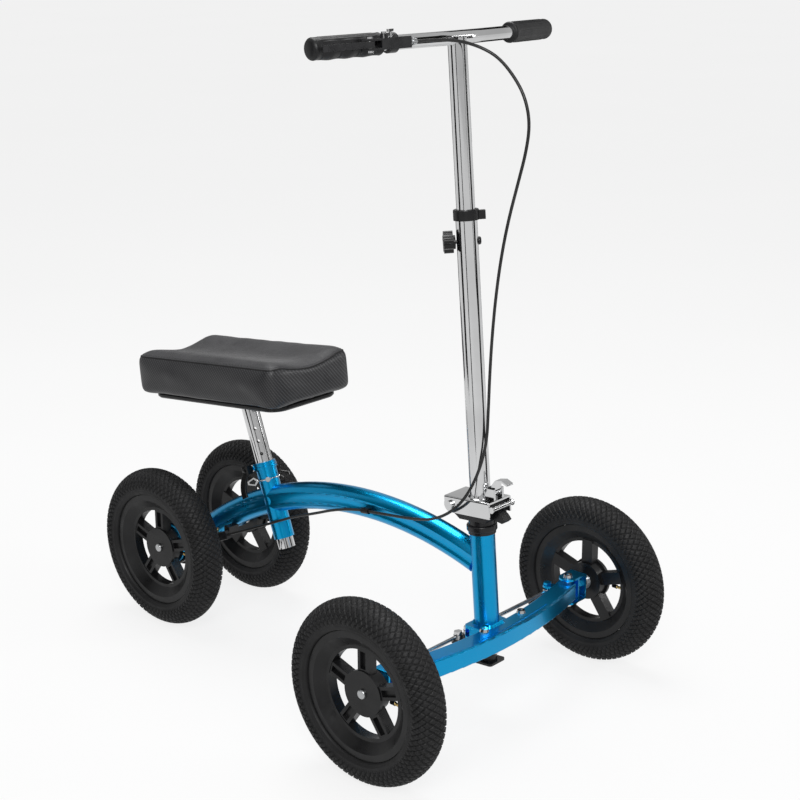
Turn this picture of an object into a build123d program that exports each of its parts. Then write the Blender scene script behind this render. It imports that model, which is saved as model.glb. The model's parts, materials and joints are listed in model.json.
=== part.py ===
from build123d import *
import math
import os

# Four-wheeled knee scooter. Millimetres, +X forward, +Y the rider's left, +Z up.
# The origin is on the ground under the middle of the wheelbase.

# Wheels and track
WHEEL_R = 152.5
TYRE_W = 62.0
WHEELBASE = 698.0
FRONT_X = WHEELBASE / 2
REAR_X = -WHEELBASE / 2
FRONT_Y = 295.0
REAR_Y = 114.0
BEAD_R = 101.5
FLANGE_R = 106.0
RIM_HALF_W = 22.0
HUB_R = 38.0
HUB_FACE = 10.0
HUB_BACK = 16.5
SPOKES = 5
AXLE_R = 6.0
BEARING_R = 14.0
BEARING_W = 9.0
RUNNING = 0.05
BEARING_FACES = (HUB_FACE - 3, -HUB_BACK + BEARING_W)

# Raked steering column: distances are measured along its axis from axle height
RAKE = 4.4
COLUMN_X = FRONT_X + 1.0
HEAD_R = 21.0
HEAD_BORE_R = 18.0
HEAD_TOP = 174.0
HEAD_BOTTOM = -18.0
STEERER_R = 14.3
STEERER_TOP = 232.0
STEERER_BOTTOM = -50.0
STEM_R = 17.2
STEM_BORE_R = 15.1
STEM_TOP = 706.0
UPPER_R = 15.0
UPPER_BOTTOM = 560.0
BAR_HEIGHT = 971.0
CLAMP_BOLT_AT = 657.0

# Fold joint, in the column's own directions (x forward of the axis, s along it)
FOLD_X = -41.6
FOLD_S = 222.5
BRACKET_FRONT = 40.0
BRACKET_BOTTOM = 210.0
BRACKET_TOP = 237.0
BRACKET_HALF_W = 29.0
SHEET = 3.0

# Handlebar
BAR_R = 11.0
BAR_STRAIGHT = 25.0
BAR_BEND_R = 150.0
BAR_SWEEP = 10.0
BAR_TILT = 4.4
BAR_END = 226.8
GRIP_R = 16.5

# Front axle beam and steering knuckles
BEAM_W = 34.0
BEAM_H = 32.0
BEAM_BOW = 31.0
KINGPIN_Y = 228.0
KINGPIN_R = 5.0
KNUCKLE_H = 48.0
KNUCKLE_HALF_X = 16.0
KNUCKLE_IN = 237.5
KNUCKLE_OUT = 262.0
PLATE = 3.5
ARM_X = 54.0
ARM_Y = 13.0

# Arched main beam, one arc in the middle plane
ARCH_X = 102.0
ARCH_Z = -396.0
ARCH_R = 709.0
ARCH_H = 50.0
ARCH_W = 38.0

# Seat: the post and its receiver lean back
SEAT_LEAN = 19.4
SEAT_X = -135.5
SEAT_Z = 193.0
RECEIVER_L = 146.0
RECEIVER_R = 19.0
POST_BORE_R = 15.9
POST_R = 15.8
PAD_L = 368.0
PAD_W = 196.0
PAD_H = 71.0
PAD_X = -233.0
PAD_Z = 458.5
PAD_TILT = 6.0

# Brake cable housing
CABLE_R = 2.5

ARCH_FRONT = math.degrees(math.asin((COLUMN_X - 22 - ARCH_X) / ARCH_R))
ARCH_REAR = -37.3
SCREW_PLACES = ((FRONT_X + 19, -31), (FRONT_X + 19, 68))
LOCK_H = 114.0
WASHER_T = 4.3
AXLE_TUBE_Y = 88.0
ROD_S = -22.3
ROD_SKEW = 2.3
ROD_T = 8.0
PITMAN_S = -28.1
PITMAN_T = 5.0
FOLD_HALF_W = 25.4
CAM_X = 30.0
CAM_S = 252.0
BAR_PIVOT_S = 190.0
PERCH_H = 17.0
PERCH_IN = 114.0
DOME_S = 164.0
DOME_AHEAD = 23.5
PARK_S = 149.0
PARK_AHEAD = 20.0
CLAMP_S = 135.0
BAR_LENGTH = BAR_STRAIGHT + BAR_BEND_R * math.radians(BAR_SWEEP) + BAR_END
GRIP_IN = 155.0
SLOT_MID = 50.0
SLOT_L = 212.0
POST_FOOT = -19.7
DRUM_R = 38.0
COVER_R = 47.0
ARM_PIVOT = (REAR_X + 34, WHEEL_R - 20)
ARM_END = (-296.0, 182.0)
STOP_X, STOP_Y, STOP_Z = -246.0, -40.0, 181.0
STOP_DIR = Vector(-31, -9, -13).normalized()
SPRING_START = (-272.0, -47.0, 172.0)
SPRING_DIR = Vector(-24, -4, 6).normalized()
CABLE_ROUTE = [
    (282.5, -110.4, 1121.1),
    (287.4, -82.8, 1121.5),
    (294.0, -54.0, 1121.0),
    (306.0, -26.0, 1118.0),
    (326.0, -3.0, 1108.5),
    (351, 8, 1094),
    (379, 10, 1068),
    (401, 10, 1038),
    (411, 10, 1000),
    (405, 10, 957),
    (389, 10, 903),
    (372, 10, 845),
    (359, 10, 784),
    (350, 10, 722),
    (344, 10, 660),
    (341, 9, 598),
    (343, 4, 538),
    (347, -4, 484),
    (345, -22, 436),
    (334, -41, 396),
    (306, -46, 365),
    (262, -41, 340),
    (210, -32, 326),
    (165, -25, 318),
    (118, -23.5, 312),
    (72, -23.5, 306.5),
    (20, -23.5, 293),
    (-30, -23.5, 273),
    (-80, -24, 255),
    (-130, -25, 232),
    (-178, -27, 210),
    (-215, -33, 194),
    (-248, -40.6, 180.2),
]
UPPER_END = 14
MIDDLE_END = 19


def save(piece, label):
    """Name one finished piece and write its file."""
    piece.part.label = label
    export_step(piece.part, f"parts/{label}.step")


def column_point(x, y, s):
    """A point x forward of the steering axis, y to the left, s along it."""
    sin, cos = math.sin(math.radians(RAKE)), math.cos(math.radians(RAKE))
    return (COLUMN_X + x * cos - s * sin, y, WHEEL_R + x * sin + s * cos)


def column_plane(s, x=0.0, y=0.0):
    """A plane square to the steering axis, its x forward and y left."""
    tilt = math.radians(RAKE)
    return Plane(
        origin=column_point(x, y, s),
        x_dir=(math.cos(tilt), 0, math.sin(tilt)),
        z_dir=(-math.sin(tilt), 0, math.cos(tilt)),
    )


def column_side(y):
    """A plane along the steering axis facing right: local x forward, local y up the axis."""
    tilt = math.radians(RAKE)
    return Plane(
        origin=column_point(0, y, 0),
        x_dir=(math.cos(tilt), 0, math.sin(tilt)),
        z_dir=(0, -1, 0),
    )


def seat_plane(h, y=0.0):
    """A plane square to the seat post, h up from the foot of its receiver."""
    lean = math.radians(SEAT_LEAN)
    return Plane(
        origin=(SEAT_X - h * math.sin(lean), y, SEAT_Z + h * math.cos(lean)),
        x_dir=(math.cos(lean), 0, math.sin(lean)),
        z_dir=(-math.sin(lean), 0, math.cos(lean)),
    )


def pad_plane(h=0.0):
    """The pad's own level plane, h above its underside."""
    tilt = math.radians(PAD_TILT)
    return Plane(
        origin=(PAD_X - h * math.sin(tilt), 0, PAD_Z + h * math.cos(tilt)),
        x_dir=(math.cos(tilt), 0, math.sin(tilt)),
        z_dir=(-math.sin(tilt), 0, math.cos(tilt)),
    )


def side_plane(x, z, y):
    """An upright plane facing right (-Y): local x forward, local y up."""
    return Plane(origin=(x, y, z), x_dir=(1, 0, 0), z_dir=(0, -1, 0))


def wheel_plane(x, y):
    """The upright plane through a wheel's axle: local x is down, local y axial."""
    return Plane(origin=(x, y, WHEEL_R), x_dir=(0, 0, -1), z_dir=(1, 0, 0))


def wheel_axis(x, y):
    return Axis((x, y, WHEEL_R), (0, 1, 0))


def bar_plane():
    """The plane that the swept handlebar lies in: local x left, local y back and down."""
    tilt = math.radians(BAR_TILT)
    back = Vector(-math.cos(tilt), 0, -math.sin(tilt))
    normal = Vector(0, 1, 0).cross(back)
    return Plane(origin=column_point(0, 0, BAR_HEIGHT), x_dir=(0, 1, 0), z_dir=normal)


def bar_end_point(side, along):
    """A point on the bar's straight end, as (across, back) in the bar plane."""
    sweep_angle = math.radians(BAR_SWEEP)
    across = BAR_STRAIGHT + BAR_BEND_R * math.sin(sweep_angle) + along * math.cos(sweep_angle)
    back = BAR_BEND_R * (1 - math.cos(sweep_angle)) + along * math.sin(sweep_angle)
    return (side * across, back)


# ---------------------------------------------------------------- wheels


def make_rim(name, x, y, side):
    """Moulded five-spoke wheel. side is +1 where the outer face looks left."""
    with BuildPart() as rim:
        with BuildSketch(wheel_plane(x, y)):
            with BuildLine():
                Polyline(
                    (73, -9),
                    (79, -9),
                    (84, -13),
                    (95, -RIM_HALF_W),
                    (FLANGE_R, -RIM_HALF_W),
                    (FLANGE_R, -19.5),
                    (BEAD_R, -18.5),
                    (97.5, -9),
                    (97.5, 9),
                    (BEAD_R, 18.5),
                    (FLANGE_R, 19.5),
                    (FLANGE_R, RIM_HALF_W),
                    (95, RIM_HALF_W),
                    (84, 13),
                    (79, 9),
                    (73, 9),
                    close=True,
                )
            make_face()
        revolve(axis=wheel_axis(x, y))
        with BuildSketch(side_plane(x, WHEEL_R, y - side * HUB_BACK)):
            Circle(HUB_R - 4)
        extrude(amount=-side * (HUB_BACK + HUB_FACE - 4))
        with BuildSketch(side_plane(x, WHEEL_R, y + side * HUB_FACE)):
            Circle(HUB_R)
        extrude(amount=side * 6)
        for k in range(SPOKES):
            turn = math.radians(90 + 360 / SPOKES * k)
            spoke_plane = Plane(
                origin=(x, y + side * 8, WHEEL_R),
                x_dir=(math.cos(turn), 0, math.sin(turn)),
                z_dir=(0, side, 0),
            )
            with BuildSketch(spoke_plane):
                with Locations((53.5, 0)):
                    Rectangle(47, 22)
            extrude(amount=-19)
            with BuildSketch(spoke_plane):
                with Locations((55.5, 0)):
                    Rectangle(29, 11)
            extrude(amount=-6, mode=Mode.SUBTRACT)
        with BuildSketch(side_plane(x, WHEEL_R, y + side * (HUB_FACE + 1))):
            Circle(AXLE_R + 2)
        extrude(amount=side * 40, mode=Mode.SUBTRACT)
        for face in BEARING_FACES:
            with BuildSketch(side_plane(x, WHEEL_R, y + side * (face + 0.2))):
                Circle(BEARING_R + RUNNING)
            extrude(amount=side * (BEARING_W + 0.4), mode=Mode.SUBTRACT)
        with BuildSketch(Plane(origin=(x + 70, y, WHEEL_R), z_dir=(1, 0, 0))):
            Circle(4.2)
        extrude(amount=35, mode=Mode.SUBTRACT)
    save(rim, name)


def make_tyre(name, x, y):
    """Pneumatic tyre: the casing, and the inner tube with its valve inside it."""
    crown = TYRE_W / 2
    middle = WHEEL_R - crown
    with BuildPart() as tyre:
        with BuildSketch(wheel_plane(x, y)):
            with BuildLine():
                outer = ThreePointArc((middle + 2, -crown), (WHEEL_R, 0), (middle + 2, crown))
                Line(outer @ 1, (middle - 8, crown - 1.5))
                Line((middle - 8, crown - 1.5), (FLANGE_R + 0.5, RIM_HALF_W - 1))
                Line((FLANGE_R + 0.5, RIM_HALF_W - 1), (FLANGE_R + 0.2, 19.3))
                Line((FLANGE_R + 0.2, 19.3), (BEAD_R + 0.2, 18.2))
                Line((BEAD_R + 0.2, 18.2), (BEAD_R + 0.2, 15.5))
                Line((BEAD_R + 0.2, 15.5), (FLANGE_R + 4, RIM_HALF_W - 4))
                Line((FLANGE_R + 4, RIM_HALF_W - 4), (middle - 2, crown - 5))
                inner = ThreePointArc((middle - 2, crown - 5), (WHEEL_R - 6, 0), (middle - 2, -crown + 5))
                Line(inner @ 1, (FLANGE_R + 4, -RIM_HALF_W + 4))
                Line((FLANGE_R + 4, -RIM_HALF_W + 4), (BEAD_R + 0.2, -15.5))
                Line((BEAD_R + 0.2, -15.5), (BEAD_R + 0.2, -18.2))
                Line((BEAD_R + 0.2, -18.2), (FLANGE_R + 0.2, -19.3))
                Line((FLANGE_R + 0.2, -19.3), (FLANGE_R + 0.5, -RIM_HALF_W + 1))
                Line((FLANGE_R + 0.5, -RIM_HALF_W + 1), (middle - 8, -crown + 1.5))
                Line((middle - 8, -crown + 1.5), outer @ 0)
            make_face()
        revolve(axis=wheel_axis(x, y))
        with BuildSketch(wheel_plane(x, y)):
            with Locations((middle + 1, 0)):
                Circle(19.5)
                Circle(18, mode=Mode.SUBTRACT)
        revolve(axis=wheel_axis(x, y))
        with BuildSketch(Plane(origin=(x + 58, y, WHEEL_R), z_dir=(1, 0, 0))):
            Circle(4)
        extrude(amount=middle - 18 - 58)
    save(tyre, name)


def make_bearings(name, places):
    """Two ball races for each wheel; places are (x, y, side)."""
    with BuildPart() as bearings:
        for x, y, side in places:
            for face in BEARING_FACES:
                with BuildSketch(side_plane(x, WHEEL_R, y + side * face)):
                    Circle(BEARING_R)
                    Circle(AXLE_R + RUNNING, mode=Mode.SUBTRACT)
                extrude(amount=side * BEARING_W)
    save(bearings, name)


def make_front_axle(name, side):
    """Wheel bolt: domed head outside the hub, spacer, and lock nut inside the knuckle."""
    y = side * FRONT_Y
    with BuildPart() as axle:
        with BuildSketch(side_plane(FRONT_X, WHEEL_R, y + side * (HUB_FACE + 0.3))):
            Circle(AXLE_R)
        extrude(amount=side * (FRONT_Y + HUB_FACE - KNUCKLE_OUT + 14))
        with BuildSketch(side_plane(FRONT_X, WHEEL_R, y + side * (HUB_FACE + 4.5))):
            Circle(8)
        extrude(amount=side * 4.2)
        fillet(axle.faces().sort_by(Axis.Y)[-1 if side > 0 else 0].edges(), 2.5)
        with BuildSketch(side_plane(FRONT_X, WHEEL_R, side * (FRONT_Y - HUB_BACK - 0.3))):
            Circle(10)
        extrude(amount=side * (FRONT_Y - HUB_BACK - 0.3 - KNUCKLE_OUT - 0.05))
        with BuildSketch(side_plane(FRONT_X, WHEEL_R, side * (KNUCKLE_OUT - PLATE - 0.05))):
            RegularPolygon(9.5, 6)
        extrude(amount=side * 7)
    save(axle, name)


def make_wheels():
    for end, x in (("front", FRONT_X), ("rear", REAR_X)):
        for hand, side in (("left", 1), ("right", -1)):
            y = side * (FRONT_Y if end == "front" else REAR_Y)
            make_rim(f"rim_{end}_{hand}", x, y, side)
            make_tyre(f"tyre_{end}_{hand}", x, y)
    make_bearings("front_bearings_left", [(FRONT_X, FRONT_Y, 1)])
    make_bearings("front_bearings_right", [(FRONT_X, -FRONT_Y, -1)])
    make_bearings("rear_bearings", [(REAR_X, REAR_Y, 1), (REAR_X, -REAR_Y, -1)])
    make_front_axle("front_axle_left", 1)
    make_front_axle("front_axle_right", -1)


# ---------------------------------------------------------------- frame


def arch_point(angle, radius=ARCH_R):
    """A point on the arch, angle in degrees from straight up towards the front."""
    turn = math.radians(angle)
    return (ARCH_X + radius * math.sin(turn), ARCH_Z + radius * math.cos(turn))


def make_main_frame():
    """Welded frame: head tube, arched beam, seat receiver, bowed front axle and rear axle tube."""
    start = arch_point(ARCH_FRONT)
    middle = arch_point((ARCH_FRONT + ARCH_REAR) / 2)
    end = arch_point(ARCH_REAR)
    turn = math.radians(ARCH_FRONT)
    arch_plane = Plane(
        origin=(start[0], 0, start[1]),
        x_dir=(0, 1, 0),
        z_dir=(-math.cos(turn), 0, math.sin(turn)),
    )
    bow_r = (KINGPIN_Y**2 + BEAM_BOW**2) / (2 * BEAM_BOW)
    bow_x = FRONT_X + BEAM_BOW - bow_r
    half_turn = math.degrees(math.asin((KINGPIN_Y + 9) / bow_r))
    with BuildPart() as frame:
        with BuildLine() as path:
            ThreePointArc(
                (start[0], 0, start[1]),
                (middle[0], 0, middle[1]),
                (end[0], 0, end[1]),
            )
        # upright oval section with a shallow groove down each flank
        half_h, half_w, dent = ARCH_H / 2, ARCH_W / 2, 2.0
        with BuildSketch(arch_plane) as section:
            with BuildLine():
                ThreePointArc((half_w, 9), (0, half_h), (-half_w, 9))
                ThreePointArc((-half_w, 9), (-half_w + dent, 0), (-half_w, -9))
                ThreePointArc((-half_w, -9), (0, -half_h), (half_w, -9))
                ThreePointArc((half_w, -9), (half_w - dent, 0), (half_w, 9))
            make_face()
            fillet(section.vertices(), 5)
        sweep(path=path.wire())
        # bowed front axle, its ends tapered round the kingpins
        with BuildSketch(Plane.XY.offset(WHEEL_R - BEAM_H / 2)):
            with BuildLine():
                front = CenterArc((bow_x, 0), bow_r + BEAM_W / 2, -half_turn, 2 * half_turn)
                back = CenterArc((bow_x, 0), bow_r - BEAM_W / 2, -half_turn, 2 * half_turn)
                Line(front @ 0, back @ 0)
                Line(front @ 1, back @ 1)
            make_face()
        extrude(amount=BEAM_H)
        for side in (1, -1):
            with BuildSketch(Plane.XY.offset(WHEEL_R - BEAM_H / 2)):
                with BuildLine():
                    Polyline(
                        (FRONT_X - 18, side * (KINGPIN_Y - 0.5)),
                        (FRONT_X - 5, side * (KINGPIN_Y + 7.5)),
                        (FRONT_X + 5, side * (KINGPIN_Y + 7.5)),
                        (FRONT_X + 18, side * (KINGPIN_Y - 0.5)),
                        (FRONT_X + 30, side * (KINGPIN_Y + 30)),
                        (FRONT_X - 30, side * (KINGPIN_Y + 30)),
                        close=True,
                    )
                make_face()
            extrude(amount=BEAM_H, mode=Mode.SUBTRACT)
        front_edges = frame.edges().filter_by(
            lambda e: e.geom_type == GeomType.CIRCLE and abs(e.radius - bow_r) < BEAM_W
        )
        fillet(front_edges, 3)
        # head tube, the saddle behind the axle and the weld flare
        with BuildSketch(Plane.XY.offset(139)):
            with Locations((FRONT_X - 3, 0)):
                RectangleRounded(38, 66, 4)
        extrude(amount=29.5)
        with BuildSketch(column_plane(HEAD_BOTTOM)):
            Circle(HEAD_R)
        extrude(amount=HEAD_TOP - HEAD_BOTTOM)
        with BuildSketch(Plane.XY.offset(WHEEL_R + BEAM_H / 2 - 1)):
            with Locations((FRONT_X + 2, 0)):
                RectangleRounded(46, 44, 8)
        extrude(amount=6, taper=35)
        # seat receiver with its clamp rings and ears
        with BuildSketch(seat_plane(0)):
            Circle(RECEIVER_R)
        extrude(amount=RECEIVER_L)
        for low, high, radius in ((134, 138, 21.5), (139.5, 143, 21.0), (RECEIVER_L - 2, RECEIVER_L, 20.2)):
            with BuildSketch(seat_plane(low)):
                Circle(radius)
            extrude(amount=high - low)
        with BuildSketch(seat_plane(131)):
            with Locations((-25, 0)):
                RectangleRounded(20, 16, 3)
        extrude(amount=13)
        # rear axle tube and its gusset
        with BuildSketch(side_plane(REAR_X, WHEEL_R, -64)):
            Circle(15)
        extrude(amount=-(64 + 88))
        with BuildSketch(side_plane(0, 0, -14)):
            with BuildLine():
                Polyline(
                    (REAR_X - 6, WHEEL_R + 11),
                    (REAR_X + 2, WHEEL_R - 14),
                    (REAR_X + 40, WHEEL_R - 2),
                    (-288, 176),
                    (-318, 186),
                    close=True,
                )
            make_face()
        extrude(amount=-28)
        # hollow out the tubes
        with BuildSketch(column_plane(HEAD_BOTTOM - 20)):
            Circle(HEAD_BORE_R)
        extrude(amount=HEAD_TOP - HEAD_BOTTOM + 40, mode=Mode.SUBTRACT)
        with BuildSketch(seat_plane(-30)):
            Circle(POST_BORE_R)
        extrude(amount=RECEIVER_L + 60, mode=Mode.SUBTRACT)
        with BuildSketch(seat_plane(112)):
            with Locations((-25, 0)):
                Rectangle(30, 3)
        extrude(amount=60, mode=Mode.SUBTRACT)
        with BuildSketch(side_plane(REAR_X, WHEEL_R, -70)):
            Circle(AXLE_R + 0.1)
        extrude(amount=-170, mode=Mode.SUBTRACT)
        with BuildSketch(Plane.XY.offset(WHEEL_R - 30)):
            with Locations((FRONT_X, KINGPIN_Y), (FRONT_X, -KINGPIN_Y)):
                Circle(KINGPIN_R)
        extrude(amount=60, mode=Mode.SUBTRACT)
        # holes for the beam screws, the clamp skewer, the lock pin and the cable
        with BuildSketch(Plane.XY.offset(WHEEL_R + BEAM_H / 2 - 14)):
            with Locations(*SCREW_PLACES):
                Circle(3)
        extrude(amount=20, mode=Mode.SUBTRACT)
        ear = seat_plane(137.5)
        ear_point = ear.from_local_coords(Vector(-29, -30, 0))
        with BuildSketch(Plane(origin=ear_point, z_dir=(0, 1, 0))):
            Circle(3)
        extrude(amount=60, mode=Mode.SUBTRACT)
        with BuildSketch(lock_plane(RECEIVER_R + 4)):
            Circle(3.2)
        extrude(amount=-8, mode=Mode.SUBTRACT)
        # embossed line along the top of the axle and the pockets in the saddle ends
        with BuildSketch(Plane.XY.offset(WHEEL_R + BEAM_H / 2 - 0.8)):
            with BuildLine():
                near = CenterArc((bow_x, 0), bow_r + 8.5, -4.1, 12.2)
                far = CenterArc((bow_x, 0), bow_r + 10.5, -4.1, 12.2)
                Line(near @ 0, far @ 0)
                Line(near @ 1, far @ 1)
            make_face()
        extrude(amount=2, mode=Mode.SUBTRACT)
        for side in (1, -1):
            with BuildSketch(side_plane(FRONT_X - 15, 155, side * 34)):
                RectangleRounded(8, 14, 2)
            extrude(amount=side * 14, mode=Mode.SUBTRACT)
    save(frame, "main_frame")


def lock_plane(out):
    """A plane facing forward and right, square to the seat lock pin, out from the receiver's axis."""
    here = seat_plane(LOCK_H)
    point = here.from_local_coords(Vector(out * math.cos(math.pi / 4), -out * math.sin(math.pi / 4), 0))
    return Plane(origin=point, x_dir=here.z_dir, z_dir=point - here.origin)


def make_frame_fittings():
    """Headset, screws, kingpins, washers, rear axle and cable clip, all fixed to the frame."""
    with BuildPart() as cups:
        for low, high, radius in ((174.05, 179, 23), (179, 190, 25.5), (190, 199.4, 22)):
            with BuildSketch(column_plane(low)):
                Circle(radius)
                Circle(STEERER_R + 0.7, mode=Mode.SUBTRACT)
            extrude(amount=high - low)
        rims = cups.edges().filter_by(lambda e: e.geom_type == GeomType.CIRCLE and e.radius > 25)
        fillet(rims, 2.4)
        with BuildSketch(column_plane(HEAD_BOTTOM - 4.5)):
            Circle(HEAD_R - 1)
            Circle(STEERER_R + 0.7, mode=Mode.SUBTRACT)
        extrude(amount=4.45)
    save(cups, "headset_cups")
    with BuildPart() as races:
        for low in (HEAD_BOTTOM + 1, HEAD_TOP - 11):
            with BuildSketch(column_plane(low)):
                Circle(HEAD_BORE_R - 0.02)
                Circle(STEERER_R + RUNNING, mode=Mode.SUBTRACT)
            extrude(amount=10)
    save(races, "headset_bearings")
    with BuildPart() as screws:
        for x, y in SCREW_PLACES:
            with BuildSketch(Plane.XY.offset(WHEEL_R + BEAM_H / 2 + 0.02)):
                with Locations((x, y)):
                    Circle(8.2)
            extrude(amount=4.6, taper=20)
            with BuildSketch(Plane.XY.offset(WHEEL_R + BEAM_H / 2 + 5)):
                with Locations((x, y)):
                    RegularPolygon(3.2, 6)
            extrude(amount=-3, mode=Mode.SUBTRACT)
            with BuildSketch(Plane.XY.offset(WHEEL_R + BEAM_H / 2 - 12)):
                with Locations((x, y)):
                    Circle(2.95)
            extrude(amount=12.1)
    save(screws, "beam_screws")
    with BuildPart() as pins:
        for side in (1, -1):
            top = WHEEL_R + KNUCKLE_H / 2
            with BuildSketch(Plane.XY.offset(WHEEL_R - KNUCKLE_H / 2 - 6.5)):
                with Locations((FRONT_X, side * KINGPIN_Y)):
                    Circle(KINGPIN_R - 0.03)
            extrude(amount=KNUCKLE_H + 8)
            with BuildSketch(Plane.XY.offset(top + 0.3)):
                with Locations((FRONT_X, side * KINGPIN_Y)):
                    Circle(8.5)
            extrude(amount=4.7, taper=18)
            with BuildSketch(Plane.XY.offset(top + 5.5)):
                with Locations((FRONT_X, side * KINGPIN_Y)):
                    RegularPolygon(3.6, 6)
            extrude(amount=-3.2, mode=Mode.SUBTRACT)
            with BuildSketch(Plane.XY.offset(WHEEL_R - KNUCKLE_H / 2 - 6.3)):
                with Locations((FRONT_X, side * KINGPIN_Y)):
                    RegularPolygon(8, 6)
            extrude(amount=6)
    save(pins, "kingpin_bolts")
    with BuildPart() as washers:
        for side in (1, -1):
            for low in (WHEEL_R + BEAM_H / 2 + 0.05, WHEEL_R - BEAM_H / 2 - 3.85):
                with BuildSketch(Plane.XY.offset(low)):
                    with Locations((FRONT_X, side * KINGPIN_Y)):
                        Circle(9)
                        Circle(KINGPIN_R + 0.05, mode=Mode.SUBTRACT)
                extrude(amount=WASHER_T if low > WHEEL_R else 3.8)
    save(washers, "kingpin_washers")
    with BuildPart() as axle:
        with BuildSketch(side_plane(REAR_X, WHEEL_R, -(REAR_Y + HUB_FACE + 0.3))):
            Circle(AXLE_R)
        extrude(amount=-2 * (REAR_Y + HUB_FACE + 0.3))
        for side in (1, -1):
            with BuildSketch(side_plane(REAR_X, WHEEL_R, side * (REAR_Y + HUB_FACE + 4.5))):
                Circle(8)
            extrude(amount=side * 4.2)
            fillet(axle.faces().sort_by(Axis.Y)[-1 if side > 0 else 0].edges(), 2.5)
            with BuildSketch(side_plane(REAR_X, WHEEL_R, side * (REAR_Y - HUB_BACK - 0.3))):
                Circle(9)
            extrude(amount=side * (REAR_Y - HUB_BACK - 0.3 - AXLE_TUBE_Y - 0.05))
    save(axle, "rear_axle")
    with BuildPart() as clip:
        clip_plane = Plane(origin=(103, -23.5, 310.2), x_dir=(0, 1, 0), z_dir=(-46, 0, -5.5))
        with BuildSketch(clip_plane):
            Circle(5)
            with Locations((4.5, 0)):
                Rectangle(5, 8)
            Circle(CABLE_R + 0.3, mode=Mode.SUBTRACT)
        extrude(amount=16)
    save(clip, "cable_clip")


# ---------------------------------------------------------------- steering


def make_knuckle(name, side):
    """Square tube round the wheel bolt, with two lugs for the kingpin and a steering arm."""
    low = WHEEL_R - KNUCKLE_H / 2
    with BuildPart() as knuckle:
        with BuildSketch(side_plane(FRONT_X, WHEEL_R, side * KNUCKLE_OUT)):
            Rectangle(2 * KNUCKLE_HALF_X, KNUCKLE_H)
        extrude(amount=side * (KNUCKLE_OUT - KNUCKLE_IN))
        with BuildSketch(Plane.XY.offset(low)):
            with Locations((FRONT_X, side * KINGPIN_Y)):
                Circle(KNUCKLE_HALF_X)
            with Locations((FRONT_X, side * (KINGPIN_Y + KNUCKLE_IN) / 2)):
                Rectangle(2 * KNUCKLE_HALF_X, KNUCKLE_IN - KINGPIN_Y)
        extrude(amount=KNUCKLE_H)
        fillet(knuckle.edges().filter_by(Axis.X), 2.5)
        inner_mid = side * (KNUCKLE_IN + KNUCKLE_OUT) / 2
        inside = Plane(origin=(FRONT_X - 30, inner_mid, WHEEL_R), x_dir=(0, 1, 0), z_dir=(1, 0, 0))
        with BuildSketch(inside):
            RectangleRounded(KNUCKLE_OUT - KNUCKLE_IN - 2 * PLATE + 0.5, KNUCKLE_H - 2 * PLATE, 1.5)
        extrude(amount=60, mode=Mode.SUBTRACT)
        with BuildSketch(Plane.XY.offset(low + PLATE)):
            with Locations((FRONT_X, side * (KNUCKLE_IN - 20.05))):
                Rectangle(60, 40)
        extrude(amount=KNUCKLE_H - 2 * PLATE, mode=Mode.SUBTRACT)
        with BuildSketch(Plane.XY.offset(low - 5)):
            with Locations((FRONT_X, side * KINGPIN_Y)):
                Circle(KINGPIN_R + 0.1)
        extrude(amount=KNUCKLE_H + 10, mode=Mode.SUBTRACT)
        with BuildSketch(side_plane(FRONT_X, WHEEL_R, side * (KNUCKLE_OUT + 5))):
            Circle(AXLE_R + 0.02)
        extrude(amount=side * 15, mode=Mode.SUBTRACT)
        # steering arm, stepped above the tie rod, with its pin
        arm_y = side * (KINGPIN_Y + ARM_Y)
        with BuildSketch(Plane.XY.offset(138)):
            with BuildLine():
                Polyline(
                    (FRONT_X - 8, side * (KNUCKLE_IN + PLATE - 0.5)),
                    (FRONT_X - 8, side * (KNUCKLE_OUT - PLATE + 0.5)),
                    (FRONT_X - 18, side * (KNUCKLE_OUT - PLATE + 0.5)),
                    (FRONT_X - ARM_X, arm_y + side * 8.5),
                    (FRONT_X - ARM_X, arm_y - side * 8.5),
                    (FRONT_X - 18, side * (KNUCKLE_IN + PLATE - 0.5)),
                    close=True,
                )
            make_face()
            with Locations((FRONT_X - ARM_X, arm_y)):
                Circle(8.5)
        extrude(amount=4)
        with BuildSketch(Plane.XY.offset(124.4)):
            with Locations((FRONT_X - ARM_X, arm_y)):
                Circle(4)
        extrude(amount=15.1)
        with BuildSketch(Plane.XY.offset(120)):
            with Locations((FRONT_X - ARM_X, arm_y)):
                RegularPolygon(7.5, 6)
        extrude(amount=4.5)
        with BuildSketch(Plane.XY.offset(142)):
            with Locations((FRONT_X - ARM_X, arm_y)):
                RegularPolygon(7.5, 6)
        extrude(amount=5)
    save(knuckle, name)


def make_tie_rod(name, side):
    """Rod with an eye at each end, lying square to the beam's middle plane."""
    inner = side * ARM_Y
    outer = side * (KINGPIN_Y + ARM_Y)
    length = abs(outer - inner)
    with BuildPart() as rod:
        with BuildSketch(column_plane(ROD_S)):
            with Locations((-ARM_X, inner), (-ARM_X - ROD_SKEW, outer)):
                Circle(8)
        extrude(amount=ROD_T)
        middle = column_point(-ARM_X - ROD_SKEW / 2, inner, ROD_S + ROD_T / 2)
        with BuildSketch(Plane(origin=middle, z_dir=(0, side, 0))):
            Circle(3.6)
        extrude(amount=length)
        with BuildSketch(column_plane(ROD_S - 1)):
            with Locations((-ARM_X, inner)):
                Circle(4.1)
            with Locations((-ARM_X - ROD_SKEW, outer)):
                Circle(5.0)
        extrude(amount=ROD_T + 2, mode=Mode.SUBTRACT)
    save(rod, name)


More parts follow.
